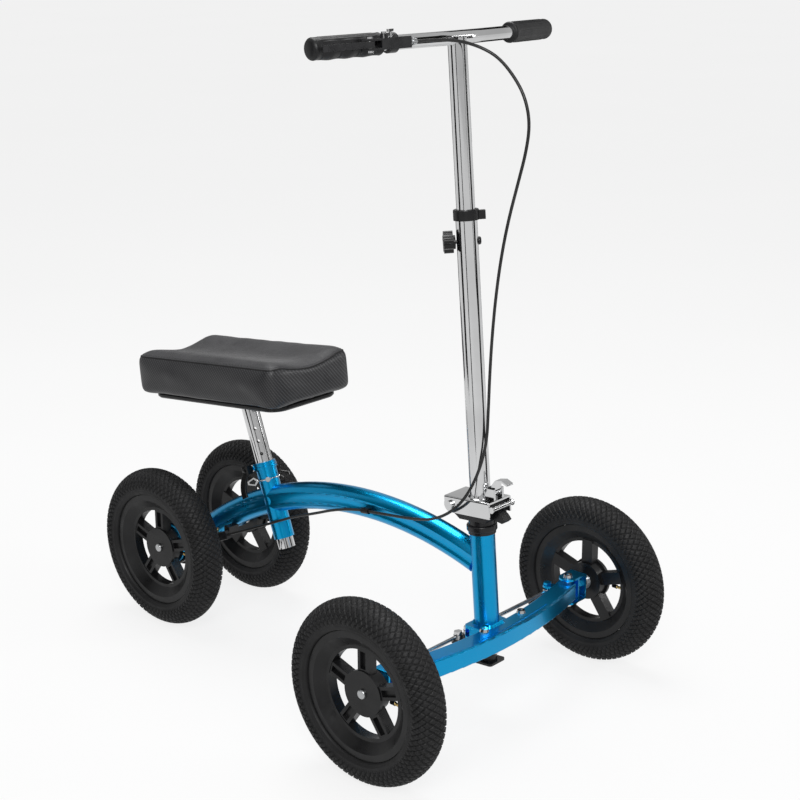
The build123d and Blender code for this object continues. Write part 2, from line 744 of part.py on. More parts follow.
def make_steerer():
    """Everything that turns with the column below the fold."""
    with BuildPart() as tube:
        with BuildSketch(column_plane(STEERER_BOTTOM)):
            Circle(STEERER_R)
            Circle(STEERER_R - 3, mode=Mode.SUBTRACT)
        extrude(amount=STEERER_TOP - STEERER_BOTTOM - 8)
        with BuildSketch(column_plane(STEERER_BOTTOM - 4)):
            RectangleRounded(40, 40, 5)
        extrude(amount=4)
    save(tube, "steerer_tube")
    with BuildPart() as base:
        with BuildSketch(column_side(-FOLD_HALF_W)):
            with BuildLine():
                Polyline(
                    (FOLD_X, FOLD_S - 11),
                    (-26, 200),
                    (27, 200),
                    (33, 206),
                    (33, BRACKET_TOP - SHEET - 0.6),
                    (FOLD_X, BRACKET_TOP - SHEET - 0.6),
                    close=True,
                )
            make_face()
            with Locations((FOLD_X, FOLD_S)):
                Circle(11)
        extrude(amount=-2 * FOLD_HALF_W)
        with BuildSketch(column_side(-9)):
            with BuildLine():
                Polyline((30, 203), (50, 199), (56, 204), (50, 212), (30, 224), close=True)
            make_face()
        extrude(amount=-18)
        with BuildSketch(column_plane(190)):
            Circle(STEERER_R + 0.02)
        extrude(amount=STEERER_TOP - 8 - 190 + 0.05, mode=Mode.SUBTRACT)
        with BuildSketch(column_side(-40)):
            with Locations((FOLD_X, FOLD_S)):
                Circle(4.05)
        extrude(amount=-80, mode=Mode.SUBTRACT)
    save(base, "fold_base")
    with BuildPart() as pitman:
        with BuildSketch(column_plane(PITMAN_S)):
            with BuildLine():
                Polyline((18, -14), (18, 14), (-14, 22), (-ARM_X - 6, 21), (-ARM_X - 6, -21), (-14, -22), close=True)
            make_face()
            Circle(20)
            for y in (-ARM_Y, ARM_Y):
                with Locations((-ARM_X - 2, y)):
                    Circle(11)
            Circle(STEERER_R + 0.02, mode=Mode.SUBTRACT)
            for y in (-ARM_Y, ARM_Y):
                with Locations((-ARM_X, y)):
                    Circle(4.02, mode=Mode.SUBTRACT)
        extrude(amount=PITMAN_T)
    save(pitman, "pitman_arm")
    with BuildPart() as nuts:
        for y in (-ARM_Y, ARM_Y):
            for low, high in ((PITMAN_S - 5, PITMAN_S - 0.05), (ROD_S + ROD_T + 0.4, ROD_S + ROD_T + 6)):
                with BuildSketch(column_plane(low)):
                    with Locations((-ARM_X, y)):
                        RegularPolygon(7.5, 6)
                extrude(amount=high - low)
            with BuildSketch(column_plane(PITMAN_S - 7)):
                with Locations((-ARM_X, y)):
                    Circle(4)
            extrude(amount=ROD_S + ROD_T + 9 - PITMAN_S)
        with BuildSketch(column_plane(PITMAN_S - 8)):
            RegularPolygon(21, 6)
            Circle(STEERER_R + 0.02, mode=Mode.SUBTRACT)
        extrude(amount=7.9)
    save(nuts, "steering_nuts")
    with BuildPart() as bolt:
        with BuildSketch(column_side(-BRACKET_HALF_W - 3.3)):
            with Locations((FOLD_X, FOLD_S)):
                Circle(4)
        extrude(amount=-2 * (BRACKET_HALF_W + 3.3))
        for y in (-BRACKET_HALF_W - 4.3, BRACKET_HALF_W + 0.3):
            with BuildSketch(column_side(y)):
                with Locations((FOLD_X, FOLD_S)):
                    Circle(7)
            extrude(amount=-4)
    save(bolt, "fold_pivot_bolt")


# ---------------------------------------------------------------- column


def make_column():
    """Folding bracket, lower stem, collar, bolt, pin and knob."""
    with BuildPart() as bracket:
        with BuildSketch(column_side(-BRACKET_HALF_W)):
            with BuildLine():
                Polyline(
                    (FOLD_X, BRACKET_TOP),
                    (BRACKET_FRONT, BRACKET_TOP),
                    (BRACKET_FRONT, BRACKET_BOTTOM),
                    (FOLD_X, FOLD_S - 13),
                    close=True,
                )
            make_face()
            with Locations((FOLD_X, FOLD_S)):
                Circle(13)
            with Locations((FOLD_X - 6, BRACKET_TOP - 7)):
                Rectangle(12, 14)
        extrude(amount=-2 * BRACKET_HALF_W)
        fillet(bracket.edges().filter_by(lambda e: abs(e.center().Y) > BRACKET_HALF_W - 0.1
               and e.length > 60 and e.center().Z > 375), 2.5)
        with BuildSketch(column_side(-BRACKET_HALF_W + SHEET)):
            with Locations((-5, BRACKET_TOP - SHEET - 30)):
                Rectangle(140, 60)
        extrude(amount=-2 * (BRACKET_HALF_W - SHEET), mode=Mode.SUBTRACT)
        with BuildSketch(column_side(-40)):
            with Locations((FOLD_X, FOLD_S)):
                Circle(4.1)
        extrude(amount=-80, mode=Mode.SUBTRACT)
        with BuildSketch(column_side(-13)):
            with Locations((CAM_X, BRACKET_TOP + 9)):
                Rectangle(18, 20)
        extrude(amount=-26)
        with BuildSketch(column_side(-8.3)):
            with Locations((CAM_X, BRACKET_TOP + 20)):
                Rectangle(22, 40)
        extrude(amount=-16.6, mode=Mode.SUBTRACT)
    save(bracket, "fold_bracket")
    with BuildPart() as stem:
        with BuildSketch(column_plane(BRACKET_TOP + 0.02)):
            Circle(STEM_R)
        extrude(amount=STEM_TOP - BRACKET_TOP)
        with BuildSketch(column_plane(BRACKET_TOP + 0.02)):
            Circle(STEM_R + 3)
        extrude(amount=3, taper=40)
        with BuildSketch(column_plane(BRACKET_TOP - 5)):
            Circle(STEM_BORE_R)
        extrude(amount=STEM_TOP, mode=Mode.SUBTRACT)
        with BuildSketch(height_bolt_plane(0)):
            Circle(3.2)
        extrude(amount=30, mode=Mode.SUBTRACT)
        with BuildSketch(height_bolt_plane(0)):
            Circle(3.2)
        extrude(amount=-30, mode=Mode.SUBTRACT)
    save(stem, "lower_stem")
    with BuildPart() as pin:
        with BuildSketch(column_side(-26)):
            with Locations((BRACKET_FRONT + 3.95, 226)):
                Circle(4)
        extrude(amount=-52)
        for y in (-27.5, 26):
            with BuildSketch(column_side(y)):
                with Locations((BRACKET_FRONT + 3.95, 226)):
                    Circle(5.2)
            extrude(amount=-1.5)
    save(pin, "cross_pin")
    with BuildPart() as collar:
        with BuildSketch(column_plane(STEM_TOP - 15)):
            Circle(20.5)
        extrude(amount=17)
        fillet(collar.faces().sort_by(Axis.Z)[-1].edges(), 2)
        with BuildSketch(column_plane(STEM_TOP - 15)):
            with Locations(Location((16, 16, 0), (0, 0, 45))):
                RectangleRounded(16, 11, 2)
        extrude(amount=14)
        with BuildSketch(column_plane(STEM_TOP - 40)):
            Circle(STEM_R + 0.02)
        extrude(amount=40.02, mode=Mode.SUBTRACT)
        with BuildSketch(column_plane(STEM_TOP - 5)):
            Circle(UPPER_R + 0.1)
        extrude(amount=10, mode=Mode.SUBTRACT)
    save(collar, "height_collar")
    with BuildPart() as bolt:
        with BuildSketch(height_bolt_plane(-30)):
            Circle(3)
        extrude(amount=48)
        with BuildSketch(height_bolt_plane(17.4)):
            Circle(6.5)
        extrude(amount=4.5)
        fillet(bolt.faces().sort_by(Axis.X)[-1].edges(), 3)
    save(bolt, "height_bolt")
    with BuildPart() as knob:
        with BuildSketch(height_bolt_plane(-19.3)):
            Circle(11)
        extrude(amount=-4)
        with BuildSketch(height_bolt_plane(-23)):
            Circle(14.5)
            with PolarLocations(13, 5):
                Circle(5.5)
        extrude(amount=-15)
        with BuildSketch(height_bolt_plane(-19)):
            Circle(3.05)
        extrude(amount=-11.3, mode=Mode.SUBTRACT)
    save(knob, "star_knob")
    with BuildPart() as latch:
        with BuildSketch(column_side(-8)):
            with Locations((CAM_X, CAM_S)):
                Circle(8)
            with BuildLine():
                Polyline((CAM_X, CAM_S + 8), (CAM_X + 8, CAM_S + 18), (CAM_X + 22, CAM_S + 20), (CAM_X + 34, CAM_S + 14),
                         (CAM_X + 33, CAM_S + 11.5), (CAM_X + 22, CAM_S + 17), (CAM_X + 10, CAM_S + 14),
                         (CAM_X + 7, CAM_S - 2), close=True)
            make_face()
        extrude(amount=-16)
        fillet(latch.edges().filter_by(Axis.Y).sort_by(Axis.X)[-2:], 1)
    save(latch, "cam_lever")


def height_bolt_plane(out):
    """A plane square to the height clamp's bolt, which points forward and left."""
    here = column_plane(CLAMP_BOLT_AT)
    half = math.sqrt(0.5)
    point = here.from_local_coords(Vector(out * half, out * half, 0))
    ahead = here.from_local_coords(Vector((out + 10) * half, (out + 10) * half, 0))
    return Plane(origin=point, x_dir=here.z_dir, z_dir=ahead - point)


# ---------------------------------------------------------------- handlebar


def bar_spot(side, s, ahead=0.0):
    """Point in the bar plane, s along the bar from its middle and ahead of its centre line."""
    turn = math.radians(BAR_SWEEP)
    if s <= BAR_STRAIGHT:
        return (side * s, -ahead)
    angle = min((s - BAR_STRAIGHT) / BAR_BEND_R, turn)
    rest = s - BAR_STRAIGHT - angle * BAR_BEND_R
    across = BAR_STRAIGHT + BAR_BEND_R * math.sin(angle) + rest * math.cos(angle) + ahead * math.sin(angle)
    back = BAR_BEND_R * (1 - math.cos(angle)) + rest * math.sin(angle) - ahead * math.cos(angle)
    return (side * across, back)


def bar_cut(side, s, ahead=0.0):
    """A plane square to the bar at s, its normal outward along the bar and its x upward."""
    frame = bar_plane()
    here = frame.from_local_coords(Vector(*bar_spot(side, s, ahead), 0))
    there = frame.from_local_coords(Vector(*bar_spot(side, s + 1, ahead), 0))
    up = frame.z_dir if frame.z_dir.Z > 0 else frame.z_dir * -1
    return Plane(origin=here, x_dir=up, z_dir=there - here)


def bar_level(height):
    """The bar plane moved up by height, with local x left and local y back."""
    return bar_plane().offset(up_amount(height))


def make_handlebar():
    with BuildPart() as bar:
        with BuildLine(bar_plane()) as path:
            ends = [bar_spot(side, BAR_STRAIGHT + BAR_BEND_R * math.radians(BAR_SWEEP)) for side in (-1, 1)]
            mids = [bar_spot(side, BAR_STRAIGHT + BAR_BEND_R * math.radians(BAR_SWEEP) / 2) for side in (-1, 1)]
            Line(bar_spot(-1, BAR_LENGTH), ends[0])
            ThreePointArc(ends[0], mids[0], (-BAR_STRAIGHT, 0))
            Line((-BAR_STRAIGHT, 0), (BAR_STRAIGHT, 0))
            ThreePointArc((BAR_STRAIGHT, 0), mids[1], ends[1])
            Line(ends[1], bar_spot(1, BAR_LENGTH))
        with BuildSketch(bar_start_plane()):
            Circle(BAR_R)
        sweep(path=path.wire())
        with BuildSketch(column_plane(UPPER_BOTTOM)):
            Circle(UPPER_R)
        extrude(amount=BAR_HEIGHT - UPPER_BOTTOM)
        with BuildSketch(column_plane(UPPER_BOTTOM - 1)):
            Circle(UPPER_R - 2)
        extrude(amount=BAR_HEIGHT - UPPER_BOTTOM - 11, mode=Mode.SUBTRACT)
        with BuildSketch(height_bolt_plane(-20)):
            with Locations((SLOT_MID, 0)):
                SlotOverall(SLOT_L, 7)
        extrude(amount=40, mode=Mode.SUBTRACT)
    save(bar, "handlebar")
    for hand, side in (("left", 1), ("right", -1)):
        with BuildPart() as grip:
            with BuildSketch(bar_cut(side, GRIP_IN)):
                Circle(GRIP_R)
            extrude(amount=BAR_LENGTH + 4 - GRIP_IN)
            fillet(grip.edges().filter_by(GeomType.CIRCLE), 3)
            with BuildSketch(bar_cut(side, GRIP_IN - 1)):
                Circle(BAR_R + 0.02)
            extrude(amount=BAR_LENGTH + 1.1 - GRIP_IN, mode=Mode.SUBTRACT)
        save(grip, f"grip_{hand}")


def bar_start_plane():
    """The plane square to the bar at its right end, its normal along the bar towards the left."""
    cut = bar_cut(-1, BAR_LENGTH)
    return Plane(origin=cut.origin, x_dir=cut.x_dir, z_dir=cut.z_dir * -1)


def make_brake_lever_set():
    """Perch, its screws, cable adjuster, parking pin and brake lever, on the right of the bar."""
    with BuildPart() as perch:
        with BuildSketch(bar_level(-PERCH_H / 2)):
            with BuildLine():
                Polyline(
                    bar_spot(-1, PERCH_IN, 13.5),
                    bar_spot(-1, PERCH_IN, 25),
                    bar_spot(-1, 150, 27),
                    bar_spot(-1, 196, 29),
                    bar_spot(-1, 205, 24),
                    bar_spot(-1, 203, 18.6),
                    bar_spot(-1, 152, 18.8),
                    bar_spot(-1, 144, 13),
                    bar_spot(-1, 130, 13),
                    close=True,
                )
            make_face()
        extrude(amount=up_amount(PERCH_H))
        with BuildSketch(bar_cut(-1, CLAMP_S)):
            Circle(15)
            with Locations((0, 13)):
                Rectangle(14, 14)
            with Locations((0, -13)):
                Rectangle(14, 14)
        extrude(amount=7, both=True)
        # the lever's slot
        with BuildSketch(bar_level(-5.2)):
            with BuildLine():
                Polyline(
                    bar_spot(-1, 171, 17.6),
                    bar_spot(-1, 171, 40),
                    bar_spot(-1, 225, 40),
                    bar_spot(-1, 225, 10),
                    bar_spot(-1, 190, 10),
                    close=True,
                )
            make_face()
        extrude(amount=up_amount(10.4), mode=Mode.SUBTRACT)
        with BuildSketch(bar_level(PERCH_H / 2 - 0.5)):
            with Locations(bar_spot(-1, DOME_S, DOME_AHEAD)):
                Circle(6.5)
        extrude(amount=up_amount(7), taper=12)
        with BuildSketch(bar_cut(-1, CLAMP_S)):
            Circle(BAR_R + 0.5)
        extrude(amount=16, both=True, mode=Mode.SUBTRACT)
        with BuildSketch(bar_cut(-1, PERCH_IN - 4, 19.5)):
            Circle(3.05)
        extrude(amount=18, mode=Mode.SUBTRACT)
        for s, ahead, radius in ((BAR_PIVOT_S, 23, 3.05), (PARK_S, PARK_AHEAD, 2.6)):
            with BuildSketch(bar_level(-20)):
                with Locations(bar_spot(-1, s, ahead)):
                    Circle(radius)
            extrude(amount=up_amount(40), mode=Mode.SUBTRACT)
    save(perch, "lever_perch")
    with BuildPart() as screws:
        with BuildSketch(bar_level(-PERCH_H / 2 - 1.5)):
            with Locations(bar_spot(-1, BAR_PIVOT_S, 23)):
                Circle(3)
        extrude(amount=up_amount(PERCH_H + 3))
        for height in (-PERCH_H / 2 - 3, PERCH_H / 2 + 0.05):
            with BuildSketch(bar_level(height)):
                with Locations(bar_spot(-1, BAR_PIVOT_S, 23)):
                    Circle(5)
            extrude(amount=up_amount(2.9))
        with BuildSketch(bar_level(PERCH_H / 2 + 6.55)):
            with Locations(bar_spot(-1, DOME_S, DOME_AHEAD)):
                Circle(4)
        extrude(amount=up_amount(2.5))
    save(screws, "lever_screws")
    with BuildPart() as adjuster:
        with BuildSketch(bar_cut(-1, PERCH_IN - 12, 19.5)):
            Circle(4.6)
        extrude(amount=11.9)
        with BuildSketch(bar_cut(-1, PERCH_IN - 8, 19.5)):
            Circle(5.8)
        extrude(amount=4)
        with BuildSketch(bar_cut(-1, PERCH_IN - 1, 19.5)):
            Circle(3)
        extrude(amount=12)
        with BuildSketch(bar_cut(-1, PERCH_IN - 13, 19.5)):
            Circle(CABLE_R + 0.1)
        extrude(amount=8, mode=Mode.SUBTRACT)
    save(adjuster, "cable_adjuster")
    with BuildPart() as pin:
        with BuildSketch(bar_level(PERCH_H / 2 - 8)):
            with Locations(bar_spot(-1, PARK_S, PARK_AHEAD)):
                Circle(2.5)
        extrude(amount=up_amount(18))
        with BuildSketch(bar_level(PERCH_H / 2 + 8)):
            with Locations(bar_spot(-1, PARK_S, PARK_AHEAD)):
                RectangleRounded(13, 5, 2)
        extrude(amount=up_amount(4))
    save(pin, "parking_pin")
    with BuildPart() as lever:
        with BuildSketch(bar_level(-4.8)):
            with BuildLine():
                Polyline(
                    bar_spot(-1, BAR_PIVOT_S - 9, 24),
                    bar_spot(-1, BAR_PIVOT_S - 3, 31),
                    bar_spot(-1, BAR_PIVOT_S + 20, 33),
                    bar_spot(-1, 240, 35),
                    bar_spot(-1, 276, 40),
                    bar_spot(-1, 282, 36),
                    bar_spot(-1, 276, 31),
                    bar_spot(-1, 240, 27),
                    bar_spot(-1, BAR_PIVOT_S + 20, 25),
                    bar_spot(-1, BAR_PIVOT_S + 2, 19),
                    bar_spot(-1, BAR_PIVOT_S - 6, 19),
                    close=True,
                )
            make_face()
        extrude(amount=up_amount(9.6))
        with BuildSketch(bar_level(-10)):
            with Locations(bar_spot(-1, BAR_PIVOT_S, 23)):
                Circle(3.1)
        extrude(amount=up_amount(20), mode=Mode.SUBTRACT)
    save(lever, "brake_lever")


def up_amount(height):
    """An extrusion height measured upward from the bar plane."""
    return height if bar_plane().z_dir.Z > 0 else -height


# ---------------------------------------------------------------- seat


def make_seat():
    with BuildPart() as post:
        with BuildSketch(seat_plane(POST_FOOT)):
            Circle(POST_R)
            Circle(POST_R - 2, mode=Mode.SUBTRACT)
        extrude(amount=320)
        split(bisect_by=pad_plane(-13.9), keep=Keep.BOTTOM)
        for k in range(-3, 5):
            across = seat_plane(LOCK_H + 24 * k)
            point = across.from_local_coords(Vector(15, -15, 0))
            with BuildSketch(Plane(origin=point, x_dir=across.z_dir, z_dir=point - across.origin)):
                Circle(3.2)
            extrude(amount=-45, mode=Mode.SUBTRACT)
        foot = seat_plane(POST_FOOT).origin
        with BuildSketch(side_plane(foot.X, foot.Z, -30)):
            Rectangle(5, 44)
        extrude(amount=-60, mode=Mode.SUBTRACT)
        with BuildSketch(pad_plane(-14)):
            with Locations((pad_offset(), 0)):
                RectangleRounded(120, 70, 10)
        extrude(amount=3.9)
        with BuildSketch(pad_plane(-24)):
            with Locations((pad_offset(), 0)):
                Circle(24)
                Circle(POST_R - 2, mode=Mode.SUBTRACT)
        extrude(amount=11)
    save(post, "seat_post")
    with BuildPart() as base:
        with BuildSketch(pad_plane(-10)):
            RectangleRounded(PAD_L - 26, PAD_W - 34, 30)
        extrude(amount=9.9)
        chamfer(base.faces().sort_by(Axis.Z)[0].edges(), 3)
    save(base, "pad_base")
    with BuildPart() as pad:
        with BuildSketch(pad_plane(0)):
            RectangleRounded(PAD_L, PAD_W, 42)
        extrude(amount=PAD_H - 6)
        with BuildSketch(pad_plane(PAD_H - 6.01)):
            RectangleRounded(PAD_L, PAD_W, 42)
        extrude(amount=6, taper=40)
        fillet(pad.faces().sort_by(Axis.Z)[0].edges(), 8)
    save(pad, "knee_pad")
    ear = seat_plane(137.5)
    rod_point = ear.from_local_coords(Vector(-29, -24, 0))
    with BuildPart() as skewer:
        with BuildSketch(Plane(origin=rod_point, z_dir=(0, 1, 0))):
            Circle(2.9)
        extrude(amount=44)
        for y, radius, length in ((-8.2 - 4, 7, 4), (8.2, 7, 6)):
            with BuildSketch(Plane(origin=ear.from_local_coords(Vector(-29, y, 0)), z_dir=(0, 1, 0))):
                Circle(radius)
            extrude(amount=length)
        with BuildSketch(Plane(origin=rod_point, z_dir=(0, -1, 0))):
            Circle(5)
        extrude(amount=3)
    save(skewer, "seat_clamp_skewer")
    with BuildPart() as handle:
        with BuildSketch(seat_plane(137.5 - 8)):
            with Locations((-29, -21)):
                RectangleRounded(15, 16, 4)
        extrude(amount=16)
        with BuildLine() as spine:
            start = seat_plane(132).from_local_coords(Vector(-29, -25, 0))
            middle = seat_plane(112).from_local_coords(Vector(-36, -33, 0))
            tip = seat_plane(88).from_local_coords(Vector(-36, -36, 0))
            ThreePointArc(start, middle, tip)
        with BuildSketch(Plane(origin=spine.line @ 0, x_dir=(0, 1, 0), z_dir=spine.line % 0)):
            RectangleRounded(5, 13, 2)
        sweep(path=spine.wire())
        with BuildSketch(Plane(origin=ear.from_local_coords(Vector(-29, -29.5, 0)), z_dir=(0, 1, 0))):
            Circle(5.3)
        extrude(amount=40, mode=Mode.SUBTRACT)
    save(handle, "seat_clamp_lever")
    make_lock_clip()


def pad_offset():
    """How far along the pad plane the post's axis meets it."""
    lean = math.radians(SEAT_LEAN)
    tilt = math.radians(PAD_TILT)
    rise = PAD_Z - SEAT_Z
    meet = SEAT_X - rise * math.tan(lean) - PAD_X
    return meet / (math.cos(tilt) + math.sin(tilt) * math.tan(lean))


def make_lock_clip():
    """Spring-wire clip: a half hoop round the receiver, a short pin and two open loops."""
    hoop_r = RECEIVER_R + 2
    wire = 1.4
    here = seat_plane(LOCK_H)
    with BuildPart() as clip:
        with BuildLine(here) as hoop:
            CenterArc((0, 0), hoop_r, -45 - 84, 168)
        with BuildSketch(Plane(origin=hoop.line @ 0, x_dir=here.z_dir, z_dir=hoop.line % 0)):
            Circle(wire)
        sweep(path=hoop.wire())
        for end in (-45 - 84, -45 + 84):
            turn = math.radians(end)
            root = here.from_local_coords(Vector(hoop_r * math.cos(turn), hoop_r * math.sin(turn), 0))
            out = here.from_local_coords(Vector((hoop_r + 18) * math.cos(turn), (hoop_r + 18) * math.sin(turn), 0))
            loop_plane = Plane(origin=root, x_dir=out - root, z_dir=Vector(0, 0, 0) + (out - root).cross(here.z_dir))
            with BuildSketch(loop_plane.offset(-wire)):
                with BuildLine():
                    Polyline((-1, -1.5), (6, -8), (19, -3), (19, 3), (6, 8), (-1, 1.5), close=True)
                make_face()
                with BuildLine(mode=Mode.PRIVATE) as hole:
                    Polyline((3, 0), (7, -5), (16, -1.5), (16, 1.5), (7, 5), close=True)
                make_face(hole.edges(), mode=Mode.SUBTRACT)
            extrude(amount=2 * wire)
        with BuildSketch(lock_plane(RECEIVER_R - 2.6)):
            Circle(2.9)
        extrude(amount=8)
        with BuildSketch(lock_plane(RECEIVER_R + 4)):
            Circle(4.5)
        extrude(amount=3)
    save(clip, "seat_lock_clip")


# ---------------------------------------------------------------- brake


def make_brake():
    """Band brake on the right rear wheel: drum on the hub, band, cover, arm, stop and spring."""
    face = -(REAR_Y - HUB_BACK)
    with BuildPart() as drum:
        with BuildSketch(side_plane(REAR_X, WHEEL_R, face + 0.02)):
            Circle(DRUM_R)
            Circle(10.5, mode=Mode.SUBTRACT)
        extrude(amount=-4)
        with BuildSketch(side_plane(REAR_X, WHEEL_R, face + 4)):
            Circle(DRUM_R)
            Circle(DRUM_R - 5, mode=Mode.SUBTRACT)
        extrude(amount=-15)
    save(drum, "brake_drum")
    with BuildPart() as band:
        with BuildSketch(side_plane(REAR_X, WHEEL_R, face + 7)):
            Circle(DRUM_R + 4)
            Circle(DRUM_R + 1, mode=Mode.SUBTRACT)
            with BuildLine():
                Polyline((0, 0), (70, -26), (70, 10), close=True)
            make_face(mode=Mode.SUBTRACT)
        extrude(amount=-11)
        with BuildSketch(side_plane(REAR_X, WHEEL_R, face + 18)):
            with PolarLocations(DRUM_R + 4.5, 4, start_angle=45):
                Circle(3)
        extrude(amount=-3.5)
    save(band, "brake_band")
    with BuildPart() as cover:
        with BuildSketch(side_plane(REAR_X, WHEEL_R, face + 21.55)):
            Circle(COVER_R)
            Circle(15.02, mode=Mode.SUBTRACT)
        extrude(amount=-4)
        fillet(cover.edges().filter_by(lambda e: e.geom_type == GeomType.CIRCLE and e.radius > 40), 1.5)
        with BuildSketch(side_plane(0, 0, face + 25)):
            with Locations(ARM_PIVOT):
                Circle(4.95)
        extrude(amount=-9)
    save(cover, "brake_backing_plate")
    arm_face = face + 25.9
    with BuildPart() as arm:
        with BuildSketch(side_plane(0, 0, arm_face)):
            with Locations(ARM_PIVOT):
                Circle(9)
            with Locations(ARM_END):
                Circle(6)
            with BuildLine():
                Polyline(
                    (ARM_PIVOT[0] - 8.5, ARM_PIVOT[1] + 2),
                    (ARM_END[0] - 5.8, ARM_END[1] + 1.5),
                    (ARM_END[0] + 5.8, ARM_END[1] - 1.5),
                    (ARM_PIVOT[0] + 8.5, ARM_PIVOT[1] - 2),
                    close=True,
                )
            make_face()
            with Locations(ARM_PIVOT):
                Circle(5.0, mode=Mode.SUBTRACT)
        extrude(amount=-4)
        with BuildSketch(side_plane(0, 0, arm_face + 3)):
            with Locations(ARM_END):
                Circle(3.4)
        extrude(amount=-16)
    save(arm, "brake_arm")
    with BuildPart() as stop:
        with BuildSketch(Plane(origin=(STOP_X, STOP_Y, STOP_Z), x_dir=(0, 1, 0), z_dir=STOP_DIR)):
            RectangleRounded(16, 16, 3)
        extrude(amount=20)
        with BuildSketch(Plane.XY.offset(STOP_Z - 6)):
            with Locations((STOP_X - 9, -24)):
                Rectangle(14, 24)
        extrude(amount=18)
        with BuildSketch(Plane(origin=(STOP_X, STOP_Y, STOP_Z), x_dir=(0, 1, 0), z_dir=STOP_DIR).offset(-1)):
            Circle(CABLE_R + 0.4)
        extrude(amount=9, mode=Mode.SUBTRACT)
        with BuildSketch(Plane(origin=(STOP_X, STOP_Y, STOP_Z), x_dir=(0, 1, 0), z_dir=STOP_DIR).offset(-1)):
            Circle(1.3)
        extrude(amount=30, mode=Mode.SUBTRACT)
    save(stop, "cable_stop")
    with BuildPart() as spring:
        with BuildLine(Plane(origin=SPRING_START, x_dir=(0, 1, 0), z_dir=SPRING_DIR)) as coil:
            Helix(pitch=3.0, height=16, radius=4.2)
        with BuildSketch(Plane(origin=coil.line @ 0, z_dir=coil.line % 0)):
            Circle(0.8)
        sweep(path=coil.wire(), is_frenet=True)
    save(spring, "brake_spring")


# ---------------------------------------------------------------- cable


def corner_radius(before, here, after):
    """The largest arc that a corner's two runs leave room for."""
    first = Vector(*here) - Vector(*before)
    second = Vector(*after) - Vector(*here)
    turn = math.radians(first.get_angle(second))
    return 0.45 * min(first.length, second.length) / math.tan(turn / 2)


def make_cable(name, points):
    """One stretch of housing through points: straight runs joined by tangent arcs."""
    radii = [corner_radius(*points[k - 1:k + 2]) for k in range(1, len(points) - 1)]
    with BuildPart() as cable:
        with BuildLine() as path:
            FilletPolyline(*points, radius=radii)
        with BuildSketch(Plane(origin=path.line @ 0, z_dir=path.line % 0)):
            Circle(CABLE_R)
        sweep(path=path.wire())
    length = path.wire().length
    expected = math.pi * CABLE_R**2 * length
    print(name, "smallest arc", round(min(radii), 1), "length", round(length, 1),
          "volume ratio", round(cable.part.volume / expected, 4))
    save(cable, name)


def middle_of(k):
    """The middle of the run from route point k - 1 to k."""
    return tuple((a + b) / 2 for a, b in zip(CABLE_ROUTE[k - 1], CABLE_ROUTE[k]))


def make_cables():
    upper_end = middle_of(UPPER_END)
    middle_end = middle_of(MIDDLE_END)
    make_cable("brake_cable_upper", CABLE_ROUTE[:UPPER_END] + [upper_end])
    make_cable("brake_cable_middle", [upper_end] + CABLE_ROUTE[UPPER_END:MIDDLE_END] + [middle_end])
    make_cable("brake_cable_lower", [middle_end] + CABLE_ROUTE[MIDDLE_END:])


os.makedirs("parts", exist_ok=True)
make_wheels()
make_main_frame()
make_frame_fittings()
make_knuckle("knuckle_left", 1)
make_knuckle("knuckle_right", -1)
make_tie_rod("tie_rod_left", 1)
make_tie_rod("tie_rod_right", -1)
make_steerer()
make_column()
make_handlebar()
make_brake_lever_set()
make_seat()
make_brake()
make_cables()
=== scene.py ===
"""Studio scene of the four-wheeled knee scooter: pad, grips, tyres, cable and finishes on the CAD frame."""
import json
import math

import bmesh
import bpy
from mathutils import Euler, Matrix, Vector
from mathutils.bvhtree import BVHTree


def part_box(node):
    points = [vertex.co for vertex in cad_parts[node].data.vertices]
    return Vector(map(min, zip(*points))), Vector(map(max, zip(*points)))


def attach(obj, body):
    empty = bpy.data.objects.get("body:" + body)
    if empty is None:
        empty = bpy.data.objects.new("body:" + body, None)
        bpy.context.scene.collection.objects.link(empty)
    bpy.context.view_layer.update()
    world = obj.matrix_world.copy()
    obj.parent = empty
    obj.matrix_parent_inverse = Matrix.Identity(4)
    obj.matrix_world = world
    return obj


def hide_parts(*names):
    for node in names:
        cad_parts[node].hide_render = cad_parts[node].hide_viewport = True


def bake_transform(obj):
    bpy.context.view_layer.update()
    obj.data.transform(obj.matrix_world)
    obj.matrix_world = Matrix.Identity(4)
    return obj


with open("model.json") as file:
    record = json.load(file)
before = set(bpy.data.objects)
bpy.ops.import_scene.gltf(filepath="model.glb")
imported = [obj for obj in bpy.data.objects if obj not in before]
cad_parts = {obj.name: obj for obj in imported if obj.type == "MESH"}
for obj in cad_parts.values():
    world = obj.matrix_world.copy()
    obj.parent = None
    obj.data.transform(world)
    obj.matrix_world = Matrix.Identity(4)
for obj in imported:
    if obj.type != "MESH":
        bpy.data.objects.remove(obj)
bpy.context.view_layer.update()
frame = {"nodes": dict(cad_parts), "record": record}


# ---------------------------------------------------------------- camera

CAMERA_LENS = 71.83
CAMERA_PLACE = (1.878, -1.9164, 1.2975)
CAMERA_YAW, CAMERA_PITCH, CAMERA_ROLL = 2.303, -0.294, -0.004


def add_camera():
    """The camera stands ahead and to the right of the scooter, a little above the handlebar."""
    data = bpy.data.cameras.new("camera")
    data.sensor_width = 36
    data.lens = CAMERA_LENS
    data.clip_end = 200
    camera = bpy.data.objects.new("camera", data)
    bpy.context.collection.objects.link(camera)
    level = math.cos(CAMERA_PITCH)
    forward = Vector((level * math.cos(CAMERA_YAW), level * math.sin(CAMERA_YAW), math.sin(CAMERA_PITCH)))
    camera.rotation_mode = "QUATERNION"
    roll = Euler((0, 0, CAMERA_ROLL)).to_quaternion()
    camera.rotation_quaternion = forward.to_track_quat("-Z", "Y") @ roll
    camera.location = CAMERA_PLACE
    bpy.context.scene.camera = camera


# ---------------------------------------------------------------- brake cable

CABLE_R = 0.0025
